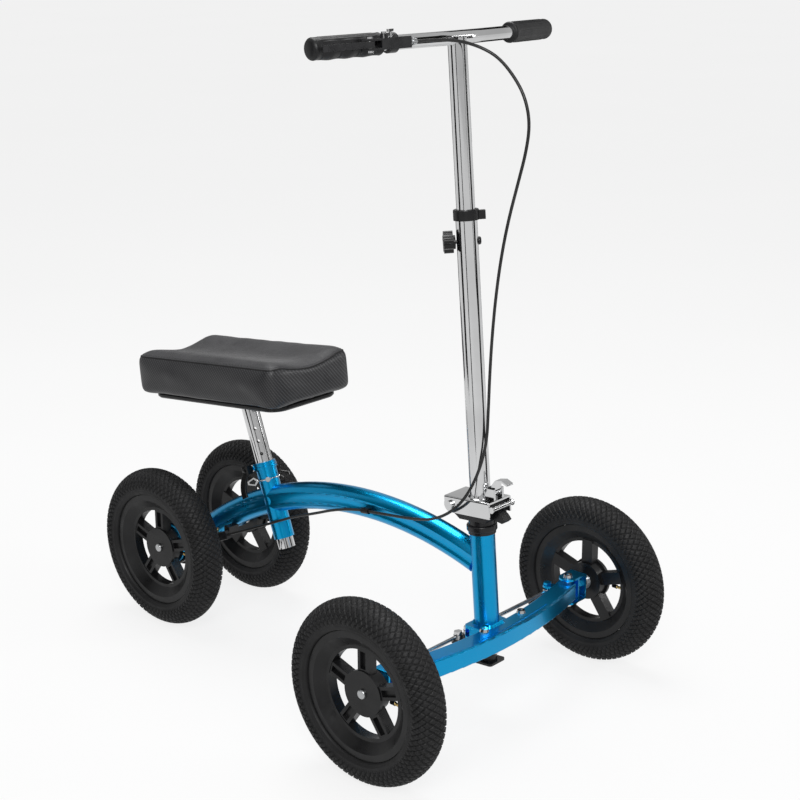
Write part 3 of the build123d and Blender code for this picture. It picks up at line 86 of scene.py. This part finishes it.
# Control points from the lever to the brake.
CABLE_ROUTE = [
    (0.2825, -0.1104, 1.1211),
    (0.2874, -0.0828, 1.1215),
    (0.294, -0.054, 1.121),
    (0.306, -0.026, 1.118),
    (0.326, -0.003, 1.1085),
    (0.351, 0.008, 1.094),
    (0.379, 0.010, 1.068),
    (0.401, 0.010, 1.038),
    (0.411, 0.010, 1.000),
    (0.405, 0.010, 0.957),
    (0.389, 0.010, 0.903),
    (0.372, 0.010, 0.845),
    (0.359, 0.010, 0.784),
    (0.350, 0.010, 0.722),
    (0.344, 0.010, 0.660),
    (0.341, 0.009, 0.598),
    (0.343, 0.004, 0.538),
    (0.347, -0.004, 0.484),
    (0.345, -0.022, 0.436),
    (0.334, -0.041, 0.396),
    (0.306, -0.046, 0.365),
    (0.262, -0.041, 0.340),
    (0.210, -0.032, 0.326),
    (0.165, -0.025, 0.318),
    (0.118, -0.0235, 0.312),
    (0.072, -0.0235, 0.3065),
    (0.020, -0.0235, 0.293),
    (-0.030, -0.0235, 0.273),
    (-0.080, -0.024, 0.255),
    (-0.130, -0.025, 0.232),
    (-0.178, -0.027, 0.210),
    (-0.215, -0.033, 0.194),
    (-0.248, -0.0406, 0.1802),
]
# Where the route is cut: the first point left out of a length, and the point that both lengths share.
UPPER_END = 14
MIDDLE_END = 19
UPPER_SPLIT = (0.347, 0.010, 0.691)
MIDDLE_SPLIT = (0.3395, -0.0315, 0.416)


def cable_piece(name, points, node, material):
    """A smooth housing through its control points, as a mesh tube."""
    curve = bpy.data.curves.new(name, "CURVE")
    curve.dimensions = "3D"
    curve.resolution_u = 12
    curve.bevel_depth = CABLE_R
    curve.bevel_resolution = 5
    curve.use_fill_caps = True
    spline = curve.splines.new("NURBS")
    spline.points.add(len(points) - 1)
    for control, place in zip(spline.points, points):
        control.co = (*place, 1)
    spline.order_u = 3
    spline.use_endpoint_u = True
    source = bpy.data.objects.new(name + "_route", curve)
    bpy.context.collection.objects.link(source)
    bpy.context.view_layer.update()
    mesh = bpy.data.meshes.new_from_object(source.evaluated_get(bpy.context.evaluated_depsgraph_get()))
    bpy.data.objects.remove(source)
    piece = bpy.data.objects.new(name, mesh)
    bpy.context.collection.objects.link(piece)
    mesh.materials.clear()
    mesh.materials.append(material)
    for face in mesh.polygons:
        face.use_smooth = True
    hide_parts(node)
    return piece


def add_cables(material):
    """One brake cable in three lengths, cut at the split points."""
    upper_points = CABLE_ROUTE[:UPPER_END] + [UPPER_SPLIT]
    middle_points = [UPPER_SPLIT] + CABLE_ROUTE[UPPER_END:MIDDLE_END] + [MIDDLE_SPLIT]
    lower_points = [MIDDLE_SPLIT] + CABLE_ROUTE[MIDDLE_END:]
    upper = cable_piece("cable_upper", upper_points, "brake_cable_upper", material)
    middle = cable_piece("cable_middle", middle_points, "brake_cable_middle", material)
    lower = cable_piece("cable_lower", lower_points, "brake_cable_lower", material)
    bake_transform(upper)
    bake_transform(middle)
    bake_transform(lower)


# ---------------------------------------------------------------- material helpers

def new_material(name):
    """An empty node material: returns it, a function that adds nodes, its links and its shader."""
    material = bpy.data.materials.new(name)
    material.use_nodes = True
    tree = material.node_tree
    shader = tree.nodes["Principled BSDF"]

    def add(kind, **values):
        node = tree.nodes.new(kind)
        for key, value in values.items():
            setattr(node, key, value)
        return node

    return material, add, tree.links.new, shader


def object_coords(add):
    """Object coordinates in metres."""
    return add("ShaderNodeTexCoord").outputs["Object"]


def noise(add, link, vector, scale, detail):
    """A noise value that varies over the piece."""
    node = add("ShaderNodeTexNoise")
    node.inputs["Scale"].default_value = scale
    node.inputs["Detail"].default_value = detail
    link(vector, node.inputs["Vector"])
    return node.outputs["Fac"]


def ramp(add, link, value, stops):
    """A colour ramp through (position, grey or colour) stops."""
    node = add("ShaderNodeValToRGB")
    link(value, node.inputs["Fac"])
    while len(node.color_ramp.elements) < len(stops):
        node.color_ramp.elements.new(0.5)
    for element, (place, colour) in zip(node.color_ramp.elements, stops):
        element.position = place
        if not isinstance(colour, tuple):
            colour = (colour, colour, colour)
        element.color = (*colour, 1)
    return node.outputs["Color"]


def patches(add, link, vector, scale, detail, stops):
    """Noise turned into soft patches that run between the stops of a ramp."""
    return ramp(add, link, noise(add, link, vector, scale, detail), stops)


def bump(add, link, shader, height, strength, distance):
    """Fine relief under the shader's normal."""
    node = add("ShaderNodeBump")
    node.inputs["Strength"].default_value = strength
    node.inputs["Distance"].default_value = distance
    link(height, node.inputs["Height"])
    link(node.outputs["Normal"], shader.inputs["Normal"])


def set_shader(shader, **values):
    """Constant values, set on the shader's own sockets."""
    for key, value in values.items():
        shader.inputs[key.replace("_", " ")].default_value = value


def paint_blue():
    """Candy metallic azure: a bright metal base under lacquer, with fine flakes and polishing marks."""
    material, add, link, shader = new_material("paint_blue")
    vector = object_coords(add)
    flakes = noise(add, link, vector, 2600.0, 1.0)
    base = patches(add, link, vector, 7.0, 3.0, [(0.3, (0.0, 0.36, 0.74)), (0.7, (0.0, 0.41, 0.80))])
    sparkle = add("ShaderNodeMixRGB", blend_type="OVERLAY")
    sparkle.inputs["Fac"].default_value = 0.16
    link(base, sparkle.inputs["Color1"])
    link(ramp(add, link, flakes, [(0.35, 0.35), (0.65, 0.7)]), sparkle.inputs["Color2"])
    link(sparkle.outputs["Color"], shader.inputs["Base Color"])
    link(patches(add, link, vector, 22.0, 6.0, [(0.3, 0.27), (0.7, 0.31)]), shader.inputs["Roughness"])
    set_shader(shader, Metallic=0.97, Coat_Weight=0.3, Coat_Roughness=0.08)
    return material


def polished(name, colour, low, high, streak=0.0):
    """Plated or brushed metal with faint smears, fine scratches and a little colour change."""
    material, add, link, shader = new_material(name)
    vector = object_coords(add)
    link(patches(add, link, vector, 35.0, 6.0, [(0.3, low), (0.75, high)]), shader.inputs["Roughness"])
    dark = tuple(0.82 * c for c in colour)
    link(patches(add, link, vector, 9.0, 3.0, [(0.25, dark), (0.6, colour)]), shader.inputs["Base Color"])
    stretch = add("ShaderNodeMapping")
    stretch.inputs["Scale"].default_value = (900, 900, 30)
    link(vector, stretch.inputs["Vector"])
    scratches = noise(add, link, stretch.outputs["Vector"], 1.0, 3.0)
    bump(add, link, shader, scratches, 0.004 + streak, 0.00005)
    set_shader(shader, Metallic=1.0)
    return material


def moulded(name, colour, roughness, grain, depth, coat=0.0):
    """Moulded plastic, rubber or powder coat: fine grain, dusty patches and uneven sheen."""
    material, add, link, shader = new_material(name)
    vector = object_coords(add)
    light = tuple(min(1, 1.7 * c + 0.004) for c in colour)
    sheen = [(0.3, roughness - 0.08), (0.7, roughness + 0.08)]
    link(patches(add, link, vector, 18.0, 6.0, [(0.35, colour), (0.75, light)]), shader.inputs["Base Color"])
    link(patches(add, link, vector, 60.0, 5.0, sheen), shader.inputs["Roughness"])
    bump(add, link, shader, noise(add, link, vector, grain, 3.0), depth, 0.0005)
    set_shader(shader, Coat_Weight=coat, Coat_Roughness=0.25, Specular_IOR_Level=0.35)
    return material


def twill_cover():
    """Synthetic leather with a carbon twill print: slanting ribs, each broken into short floats."""
    material, add, link, shader = new_material("pad_twill")
    vector = object_coords(add)
    waves = []
    for direction, scale in (("DIAGONAL", 88.0), ("Z", 110.0)):
        wave = add("ShaderNodeTexWave", wave_type="BANDS", bands_direction=direction)
        wave.inputs["Scale"].default_value = scale
        link(vector, wave.inputs["Vector"])
        waves.append(wave.outputs["Fac"])
    weave = add("ShaderNodeMixRGB", blend_type="MULTIPLY")
    weave.inputs["Fac"].default_value = 0.45
    link(waves[0], weave.inputs["Color1"])
    link(waves[1], weave.inputs["Color2"])
    greys = [(0.0, (0.006, 0.006, 0.007)), (0.45, (0.016, 0.016, 0.018)), (1.0, (0.058, 0.058, 0.062))]
    link(ramp(add, link, weave.outputs["Color"], greys), shader.inputs["Base Color"])
    link(patches(add, link, vector, 40.0, 5.0, [(0.3, 0.36), (0.7, 0.48)]), shader.inputs["Roughness"])
    bump(add, link, shader, weave.outputs["Color"], 0.4, 0.0003)
    set_shader(shader, Coat_Weight=0.12, Coat_Roughness=0.3)
    return material


def leather_cover():
    """Smooth synthetic leather: fine cell grain, soft creases and a slight sheen."""
    material, add, link, shader = new_material("pad_leather")
    vector = object_coords(add)
    cells = add("ShaderNodeTexVoronoi", feature="DISTANCE_TO_EDGE")
    cells.inputs["Scale"].default_value = 700.0
    link(vector, cells.inputs["Vector"])
    grain = ramp(add, link, cells.outputs["Distance"], [(0.0, 0.0), (0.12, 1.0)])
    bump(add, link, shader, grain, 0.25, 0.0004)
    greys = [(0.3, (0.018, 0.018, 0.02)), (0.75, (0.04, 0.04, 0.043))]
    link(patches(add, link, vector, 14.0, 5.0, greys), shader.inputs["Base Color"])
    link(patches(add, link, vector, 55.0, 5.0, [(0.3, 0.42), (0.7, 0.56)]), shader.inputs["Roughness"])
    set_shader(shader, Sheen_Weight=0.15, Sheen_Roughness=0.4)
    return material


def paint_nodes(mats):
    """Every CAD node gets the finish of its record slot."""
    for sub in frame["record"]["subparts"]:
        for place in frame["nodes"][sub["node"]].material_slots:
            place.material = mats[sub["material_slot"]]


# ---------------------------------------------------------------- mesh helpers

def link_mesh(name, bm, *materials):
    """A smooth-shaded object from a bmesh."""
    bmesh.ops.recalc_face_normals(bm, faces=bm.faces)
    mesh = bpy.data.meshes.new(name)
    bm.to_mesh(mesh)
    bm.free()
    for face in mesh.polygons:
        face.use_smooth = True
    for material in materials:
        mesh.materials.append(material)
    piece = bpy.data.objects.new(name, mesh)
    bpy.context.collection.objects.link(piece)
    return piece


def ring_grid(bm, rings, closed_profile=True):
    """Faces between successive rings of points, the last ring joined to the first."""
    rows = [[bm.verts.new(p) for p in ring] for ring in rings]
    for k, row in enumerate(rows):
        after = rows[(k + 1) % len(rows)]
        span = len(row) if closed_profile else len(row) - 1
        for j in range(span):
            n = (j + 1) % len(row)
            bm.faces.new((row[j], row[n], after[n], after[j]))


def capped_tube(rings):
    """A skin through successive closed rings of points, with a flat face over each end."""
    bm = bmesh.new()
    rows = [[bm.verts.new(p) for p in ring] for ring in rings]
    for a, b in zip(rows, rows[1:]):
        for k in range(len(a)):
            n = (k + 1) % len(a)
            bm.faces.new((a[k], a[n], b[n], b[k]))
    bm.faces.new(rows[-1])
    bm.faces.new(list(reversed(rows[0])))
    return bm


def centre_of(node):
    """Middle of a CAD node's box."""
    low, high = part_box(node)
    return (Vector(low) + Vector(high)) / 2


# ---------------------------------------------------------------- tyres

TYRE_R = 0.1525
TYRE_HALF = 0.031
BEAD = 0.1062
TYRE_SEGMENTS = 1092
CROWN_POINTS = 74
TREAD_BLOCKS = 78
BLOCK_LEAN = 12.5
TREAD_DEPTH = 0.0030
SIDEWALL_DROP = 0.0016
RIM_RIB = 0.0009
SECTION_TURN = math.radians(118.0)


def smooth(low, high, value):
    """0 below low, 1 above high, and an even curve between them."""
    t = min(1, max(0, (value - low) / (high - low)))
    return t * t * (3 - 2 * t)


def tread_height(turn, across):
    """How far the casing sinks below the block tops: leaning diamond blocks, fading out on the sidewall."""
    phase = turn * TREAD_BLOCKS / 2
    lean = across * BLOCK_LEAN + 0.25 * math.sin(across * 9)
    cut = min(abs(math.sin(phase + lean)), abs(math.sin(phase - lean)))
    block = smooth(0.10, 0.34, cut)
    sipe = 0.35 * (1 - smooth(0.0, 0.16, abs(math.sin(phase * 2 + lean * 0.5)))) * block
    fade = 1 - smooth(0.70, 0.86, abs(across))
    return -TREAD_DEPTH * (1 - block + sipe) * fade - SIDEWALL_DROP * (1 - fade)


def tyre_profile():
    """Closed casing outline: (radius, across, where on the crown from -1 to 1, or None inside)."""
    points = []
    middle = TYRE_R - TYRE_HALF
    for k in range(CROWN_POINTS):
        angle = -SECTION_TURN + 2 * SECTION_TURN * k / (CROWN_POINTS - 1)
        radius = middle + TYRE_HALF * math.cos(angle)
        points.append((radius, TYRE_HALF * math.sin(angle), angle / SECTION_TURN))
    for radius, side in ((BEAD + 0.0004, 0.0212), (BEAD + 0.0003, 0.0193), (BEAD + 0.004, 0.016),
                         (BEAD + 0.004, -0.016), (BEAD + 0.0003, -0.0193), (BEAD + 0.0004, -0.0212)):
        points.append((radius, side, None))
    return points


def add_tyre(end, hand, rubber):
    """Treaded casing round the wheel, with a thin rib on each sidewall beside the rim."""
    centre = centre_of(f"tyre_{end}_{hand}")
    profile = tyre_profile()
    middle = TYRE_R - TYRE_HALF
    bm = bmesh.new()
    rings = []
    for k in range(TYRE_SEGMENTS):
        turn = 2 * math.pi * k / TYRE_SEGMENTS
        cos_turn, sin_turn = math.cos(turn), math.sin(turn)
        ring = []
        for radius, side, crown in profile:
            if crown is not None:
                rib = RIM_RIB * smooth(0.87, 0.89, abs(crown)) * (1 - smooth(0.91, 0.93, abs(crown)))
                share = 1 + (tread_height(turn, crown) + rib) / TYRE_HALF
                radius = max(middle + (radius - middle) * share, BEAD + 0.0012)
                side *= share
            ring.append((centre.x + radius * cos_turn, centre.y + side, centre.z + radius * sin_turn))
        rings.append(ring)
    ring_grid(bm, rings)
    tyre = link_mesh(f"tyre_{end}_{hand}_treaded", bm, rubber)
    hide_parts(f"tyre_{end}_{hand}")
    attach(tyre, f"wheel_{end}_{hand}")


VALVE_OUTLINE = [
    (0.0, 0.0), (0.0026, 0.0), (0.0033, 0.0008), (0.0033, 0.008), (0.0037, 0.0084), (0.0037, 0.0095),
    (0.0026, 0.0100), (0.0024, 0.0135), (0.0028, 0.0140), (0.0028, 0.0155), (0.0024, 0.0160),
    (0.0024, 0.022), (0.0042, 0.023), (0.0042, 0.026),
]
VALVE_TIP = 0.050
VALVE_CAP = 0.0098


def lathe(name, outline, base, axis, segments, split, *materials):
    """A (radius, along) outline spun about axis from base. The second finish starts at split."""
    side = axis.orthogonal().normalized()
    other = axis.cross(side)
    bm = bmesh.new()
    rings = []
    for k in range(segments):
        turn = 2 * math.pi * k / segments
        spoke = side * math.cos(turn) + other * math.sin(turn)
        rings.append([base + axis * along + spoke * max(radius, 0.00001) for radius, along in outline])
    ring_grid(bm, rings, closed_profile=False)
    bmesh.ops.remove_doubles(bm, verts=bm.verts, dist=0.00003)
    piece = link_mesh(name, bm, *materials)
    for face in piece.data.polygons:
        face.material_index = 1 if (face.center - base).dot(axis) > split else 0
    return piece


def add_valve(end, hand, black, brass):
    """Brass valve stem with a black cap, pointing from the rim towards the hub."""
    axis = Vector((1, 0, 0))
    tip = centre_of(f"tyre_{end}_{hand}") + axis * VALVE_TIP
    valve = lathe(f"valve_{end}_{hand}", VALVE_OUTLINE, tip, axis, 20, VALVE_CAP, black, brass)
    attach(valve, f"wheel_{end}_{hand}")


# ---------------------------------------------------------------- grips

BAR_SWEEP = math.radians(10)
BAR_TILT = math.radians(4.4)
GRIP_LENGTH = 0.127
GRIP_R = 0.0164
FINGER_DEPTH = 0.0014
NOTCH_DEPTH = 0.0008
GRIP_RIB = 0.0005
GRIP_ROWS = 150
GRIP_AROUND = 96
FINGERS = 4
GRIP_RIBS = 12


def bar_end(side):
    """Inner end of the grip and the way it runs, from the grip's own box and the sweep of the bar."""
    name = "left" if side > 0 else "right"
    low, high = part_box(f"grip_{name}")
    middle = (Vector(low) + Vector(high)) / 2
    back = math.sin(BAR_SWEEP)
    along = Vector((-back * math.cos(BAR_TILT), side * math.cos(BAR_SWEEP), -back * math.sin(BAR_TILT)))
    return middle - along * GRIP_LENGTH / 2, along


def grip_radius(t, turn, side):
    """Radius at share t of the grip's length and angle turn round it."""
    if t < 0.03:
        base = 0.0145 + 0.0025 * math.sqrt(t / 0.03)
    elif t > 0.95:
        base = 0.0166 * math.sqrt(max(0, 1 - ((t - 0.95) / 0.05) ** 2 * 0.55))
    else:
        base = GRIP_R
    finger = t * FINGERS * 2 * math.pi
    under = smooth(0.2, 0.9, -math.cos(turn) * 0.4 + math.sin(turn) * side * -0.9)
    wave = FINGER_DEPTH * math.cos(finger) * under * smooth(0.02, 0.1, t) * (1 - smooth(0.9, 0.97, t))
    rib = GRIP_RIB * smooth(0.6, 0.95, abs(math.sin(turn * GRIP_RIBS)))
    rib *= smooth(0.08, 0.12, t) * (1 - smooth(0.86, 0.9, t))
    palm = rib * smooth(0.1, 0.5, 1 - under)
    notch = -NOTCH_DEPTH * smooth(0.86, 0.99, math.cos(finger + math.pi)) * under
    return base + wave + palm + notch


def add_grip(hand, side, rubber):
    """Soft grip with finger waves underneath, ribs between them, a collar and a rounded end."""
    start, along = bar_end(side)
    up = (Vector((0, 0, 1)) - along * along.z).normalized()
    back = along.cross(up) * side
    rings = []
    for k in range(GRIP_ROWS + 1):
        t = k / GRIP_ROWS
        middle = start + along * (t * GRIP_LENGTH)
        ring = []
        for j in range(GRIP_AROUND):
            turn = 2 * math.pi * j / GRIP_AROUND
            radius = grip_radius(t, turn, side)
            ring.append(middle + up * radius * math.cos(turn) + back * radius * math.sin(turn))
        rings.append(ring)
    grip = link_mesh(f"grip_{hand}_moulded", capped_tube(rings), rubber)
    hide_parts(f"grip_{hand}")
    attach(grip, "handlebar")


# ---------------------------------------------------------------- knee pad

PAD_TILT = math.radians(6.0)
PAD_LENGTH = 0.386
PAD_WIDTH = 0.211
PAD_HEIGHT = 0.078
PAD_CORNER = 0.024
PAD_FOOT = 0.0355
PAD_TROUGH = 0.012
PAD_SHRINK = 0.003
PAD_SWELL = 0.0035
PAD_EDGE = 0.010
PAD_AROUND = 160
SIDE_SHARE = 0.36
VOXEL = 0.005
CLOTH_PRESSURE = 4
CLOTH_TENSION = 25
CLOTH_FRAMES = 20
SEAM_DROP = 0.0075
SEAM_PROUD = 0.0001
PIPING_R = 0.0016


def pad_place():
    """The pad's own frame: x towards the nose, z up, origin in the middle of its underside."""
    low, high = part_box("knee_pad")
    middle = (Vector(low) + Vector(high)) / 2
    middle.y = 0
    turn = Matrix.Rotation(-PAD_TILT, 4, "Y")
    return Matrix.Translation(middle) @ turn @ Matrix.Translation((0, 0, -PAD_FOOT))


def pad_outline(count, inset):
    """Plan of the pad: (x, y) points round a rectangle with rounded corners."""
    half_x, half_y = PAD_LENGTH / 2 - inset, PAD_WIDTH / 2 - inset
    corner = max(PAD_CORNER - inset, 0.004)
    quarter = count // 4
    points = []
    for k in range(count):
        step = (k % quarter) / quarter
        sign_x, sign_y = ((1, 1), (-1, 1), (-1, -1), (1, -1))[k // quarter]
        if sign_x * sign_y < 0:
            step = 1 - step
        if step < SIDE_SHARE:
            x, y = half_x, (half_y - corner) * step / SIDE_SHARE
        elif step > 1 - SIDE_SHARE:
            x, y = (half_x - corner) * (1 - step) / SIDE_SHARE, half_y
        else:
            bend = (step - SIDE_SHARE) / (1 - 2 * SIDE_SHARE) * math.pi / 2
            x = half_x - corner + corner * math.cos(bend)
            y = half_y - corner + corner * math.sin(bend)
        points.append((sign_x * x, sign_y * y))
    return points


def pad_dip(y):
    """How far the lengthwise trough lowers the top at y from the middle."""
    across = min(1, abs(y) / (PAD_WIDTH / 2 * 0.9))
    return PAD_TROUGH * math.cos(across * math.pi / 2) ** 2


def pad_body():
    """The cushion a little under size, ready to be blown up."""
    top = PAD_HEIGHT - PAD_SHRINK
    foot = PAD_SHRINK / 2
    rings = []
    layers = [(0.008, 0.0), (0.002, 0.002), (0.0, 0.008)]
    layers += [(0.0, 0.008 + (top - 0.018) * k / 8) for k in range(1, 9)]
    layers += [(0.003, top - 0.004), (PAD_EDGE, top)]
    for inset, height in layers:
        sunk = (height / top) ** 3
        outline = pad_outline(PAD_AROUND, PAD_SHRINK + inset)
        rings.append([(x, y, foot + height - pad_dip(y) * sunk) for x, y in outline])
    outline = pad_outline(PAD_AROUND, PAD_SHRINK + PAD_EDGE)
    for k in range(1, 20):
        shrink = 1 - k / 20
        rings.append([(x * shrink, y * shrink, foot + top + 0.002 - pad_dip(y * shrink)) for x, y in outline])
    return capped_tube(rings)


def blow_up(piece):
    """Remesh, then swell the cover under pressure, keeping each point within PAD_SWELL of where it began."""
    remesh = piece.modifiers.new("remesh", "REMESH")
    remesh.mode = "VOXEL"
    remesh.voxel_size = VOXEL
    bpy.context.view_layer.objects.active = piece
    bpy.ops.object.modifier_apply(modifier="remesh")
    start = [v.co.copy() for v in piece.data.vertices]
    cloth = piece.modifiers.new("cloth", "CLOTH")
    cloth.settings.use_pressure = True
    cloth.settings.uniform_pressure_force = CLOTH_PRESSURE
    cloth.settings.tension_stiffness = CLOTH_TENSION
    cloth.settings.effector_weights.gravity = 0
    cloth.point_cache.frame_start = 1
    cloth.point_cache.frame_end = CLOTH_FRAMES
    for step in range(1, CLOTH_FRAMES + 1):
        bpy.context.scene.frame_set(step)
    solved = piece.evaluated_get(bpy.context.evaluated_depsgraph_get())
    moved = [v.co.copy() for v in solved.data.vertices]
    piece.modifiers.remove(cloth)
    bpy.context.scene.frame_set(1)
    for vertex, before, after in zip(piece.data.vertices, start, moved):
        shift = after - before
        if shift.length > PAD_SWELL:
            shift *= PAD_SWELL / shift.length
        vertex.co = before + shift


def soften(piece, rounds, levels):
    """Even out the voxel steps, then subdivide."""
    smoother = piece.modifiers.new("soften", "SMOOTH")
    smoother.iterations = rounds
    smoother.factor = 0.5
    divide = piece.modifiers.new("divide", "SUBSURF")
    divide.levels = divide.render_levels = levels
    bpy.context.view_layer.objects.active = piece
    bpy.ops.object.modifier_apply(modifier="soften")
    bpy.ops.object.modifier_apply(modifier="divide")


def seam_points(tree, count, drop):
    """Points on the swollen side, drop below its top edge, all the way round."""
    points = []
    for x, y in pad_outline(count, -0.02):
        aim_x = max(-PAD_LENGTH / 2 + 0.05, min(PAD_LENGTH / 2 - 0.05, x))
        aim_y = max(-PAD_WIDTH / 2 + 0.05, min(PAD_WIDTH / 2 - 0.05, y))
        height = PAD_HEIGHT - drop - pad_dip(y)
        origin = Vector((x, y, height))
        way = (Vector((aim_x, aim_y, height)) - origin).normalized()
        spot, normal, _, _ = tree.ray_cast(origin, way)
        points.append((spot, normal))
    return points


def cord_round(name, places, radius, place, material):
    """A closed round cord through places, given in the pad's own frame."""
    curve = bpy.data.curves.new(name, "CURVE")
    curve.dimensions = "3D"
    curve.bevel_depth = radius
    curve.bevel_resolution = 4
    spline = curve.splines.new("POLY")
    spline.points.add(len(places) - 1)
    for control, spot in zip(spline.points, places):
        control.co = (*(place @ spot), 1)
    spline.use_cyclic_u = True
    curve.materials.append(material)
    cord = bpy.data.objects.new(name, curve)
    bpy.context.collection.objects.link(cord)
    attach(cord, "seat")


def add_pad(twill, leather, thread):
    """Foam cushion in a two-part cover: twill sides, smooth top with a shin trough, piping between them."""
    place = pad_place()
    pad = link_mesh("knee_pad_cover", pad_body(), twill, leather)
    blow_up(pad)
    soften(pad, 14, 1)
    for face in pad.data.polygons:
        _, y, z = face.center
        face.material_index = 1 if z > PAD_HEIGHT - SEAM_DROP - pad_dip(y) else 0
        face.use_smooth = True
    tree = BVHTree.FromPolygons([v.co for v in pad.data.vertices], [p.vertices for p in pad.data.polygons])
    seam = seam_points(tree, 240, SEAM_DROP)
    pad.data.transform(place)
    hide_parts("knee_pad")
    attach(pad, "seat")
    cord_round("pad_piping", [spot - normal * 0.0004 for spot, normal in seam], PIPING_R, place, thread)
    add_stitches(place, seam_points(tree, 480, SEAM_DROP - 0.003), thread)


def add_stitches(place, seam, thread):
    """A row of short stitches just above the piping."""
    bm = bmesh.new()
    for k in range(0, len(seam), 2):
        ends = (seam[k], seam[(k + 1) % len(seam)])
        a, b = (place @ (spot + normal * SEAM_PROUD) for spot, normal in ends)
        along = b - a
        if along.length < 0.0005:
            continue
        turn = along.to_track_quat("X", "Z").to_matrix().to_4x4()
        size = Matrix.Diagonal((min(along.length / 2, 0.0016), 0.0004, 0.0004, 1))
        middle = Matrix.Translation((a + b) / 2)
        bmesh.ops.create_icosphere(bm, subdivisions=1, radius=1, matrix=middle @ turn @ size)
    stitches = link_mesh("pad_stitches", bm, thread)
    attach(stitches, "seat")


# ---------------------------------------------------------------- studio

# Each card: its middle, counted from the camera's side, and its half width, in degrees round the set.
CARDS = ((-158, 14), (-74, 13), (-20, 4), (80, 12), (152, 12))
CARD_DISTANCE = 1.9
CARD_HEIGHT = 2.6
CAMERA_SIDE = -45.6
FLOOR_GLOW = 0.82
FLOOR_BOUNCE = 0.55
WORLD_LIGHT = 0.44
# Each light: name, place, what it points at, size and power.
LIGHTS = (
    ("key", (2.2, -2.6, 2.9), (0, 0, 0.4), 1.6, 85),
    ("fill", (2.6, 2.4, 1.6), (0.1, 0, 0.5), 1.2, 30),
    ("top", (-0.6, 0.4, 3.2), (0, 0, 0.3), 1.8, 55),
)


def add_cards():
    """Dark cards round the set that only polished surfaces see: they draw the streaks on the plated tubes."""
    bm = bmesh.new()
    for middle, half in CARDS:
        ends = [math.radians(CAMERA_SIDE + middle + side * half) for side in (-1, 1)]
        foot = [(CARD_DISTANCE * math.cos(a), CARD_DISTANCE * math.sin(a)) for a in ends]
        corners = [(*foot[0], 0.005), (*foot[1], 0.005), (*foot[1], CARD_HEIGHT), (*foot[0], CARD_HEIGHT)]
        bm.faces.new([bm.verts.new(c) for c in corners])
    material, _, _, shader = new_material("card")
    set_shader(shader, Base_Color=(0.006, 0.006, 0.006, 1), Roughness=1.0, Specular_IOR_Level=0.0)
    cards = link_mesh("cards", bm, material)
    cards.visible_camera = False
    cards.visible_diffuse = False
    cards.visible_shadow = False


def add_floor():
    """Pale seamless floor that glows a little, more to the camera, so that its far part stays pale."""
    bm = bmesh.new()
    bmesh.ops.create_grid(bm, x_segments=1, y_segments=1, size=60)
    material, add, link, shader = new_material("floor")
    vector = object_coords(add)
    link(patches(add, link, vector, 0.8, 2.0, [(0.3, 0.13), (0.7, 0.14)]), shader.inputs["Base Color"])
    rays = add("ShaderNodeLightPath")
    glow = add("ShaderNodeMath", operation="MULTIPLY_ADD")
    link(rays.outputs["Is Camera Ray"], glow.inputs[0])
    glow.inputs[1].default_value = FLOOR_GLOW - FLOOR_BOUNCE
    glow.inputs[2].default_value = FLOOR_BOUNCE
    link(glow.outputs["Value"], shader.inputs["Emission Strength"])
    set_shader(shader, Roughness=0.9, Specular_IOR_Level=0.0, Emission_Color=(1, 1, 1, 1))
    floor = link_mesh("floor", bm, material)


def add_studio():
    """Pale floor, three soft lights, an even pale surround and dark cards for the reflections."""
    add_floor()
    add_cards()
    for name, place, aim, size, power in LIGHTS:
        data = bpy.data.lights.new(name, "AREA")
        data.size = size
        data.energy = power
        light = bpy.data.objects.new(name, data)
        light.location = place
        light.rotation_mode = "QUATERNION"
        light.rotation_quaternion = (Vector(aim) - Vector(place)).to_track_quat("-Z", "Y")
        bpy.context.collection.objects.link(light)
    world = bpy.data.worlds.new("studio")
    bpy.context.scene.world = world
    world.use_nodes = True
    background = world.node_tree.nodes["Background"]
    background.inputs["Color"].default_value = (1, 1, 1, 1)
    background.inputs["Strength"].default_value = WORLD_LIGHT
    bpy.context.scene.view_settings.view_transform = "Standard"


def main():
    """Camera and cable first, then finishes, tyres, grips, pad and studio."""
    add_camera()
    mats = {
        "frame_blue": paint_blue(),
        "chrome": polished("chrome_plate", (0.86, 0.865, 0.87), 0.05, 0.12),
        "steel": polished("zinc_steel", (0.60, 0.61, 0.62), 0.22, 0.38, streak=0.05),
        "black_metal": moulded("black_coat", (0.006, 0.006, 0.007), 0.30, 900.0, 0.06, coat=0.2),
        "black_plastic": moulded("black_plastic", (0.0042, 0.0042, 0.0046), 0.33, 1200.0, 0.06),
        "tyre": moulded("tyre_rubber", (0.0042, 0.0042, 0.0046), 0.56, 1500.0, 0.2),
        "grip_rubber": moulded("grip_rubber", (0.006, 0.006, 0.0065), 0.42, 1800.0, 0.12),
        "pad_cover": leather_cover(),
        "brass": polished("valve_brass", (0.80, 0.56, 0.20), 0.18, 0.3),
        "cable": moulded("cable_housing", (0.010, 0.010, 0.010), 0.38, 1500.0, 0.05, coat=0.2),
    }
    add_cables(mats["cable"])
    paint_nodes(mats)
    for end in ("front", "rear"):
        for hand in ("left", "right"):
            add_tyre(end, hand, mats["tyre"])
            add_valve(end, hand, mats["black_plastic"], mats["brass"])
    add_grip("left", 1, mats["grip_rubber"])
    add_grip("right", -1, mats["grip_rubber"])
    thread = moulded("pad_thread", (0.004, 0.004, 0.0045), 0.5, 2500.0, 0.3)
    add_pad(twill_cover(), mats["pad_cover"], thread)
    add_studio()


main()
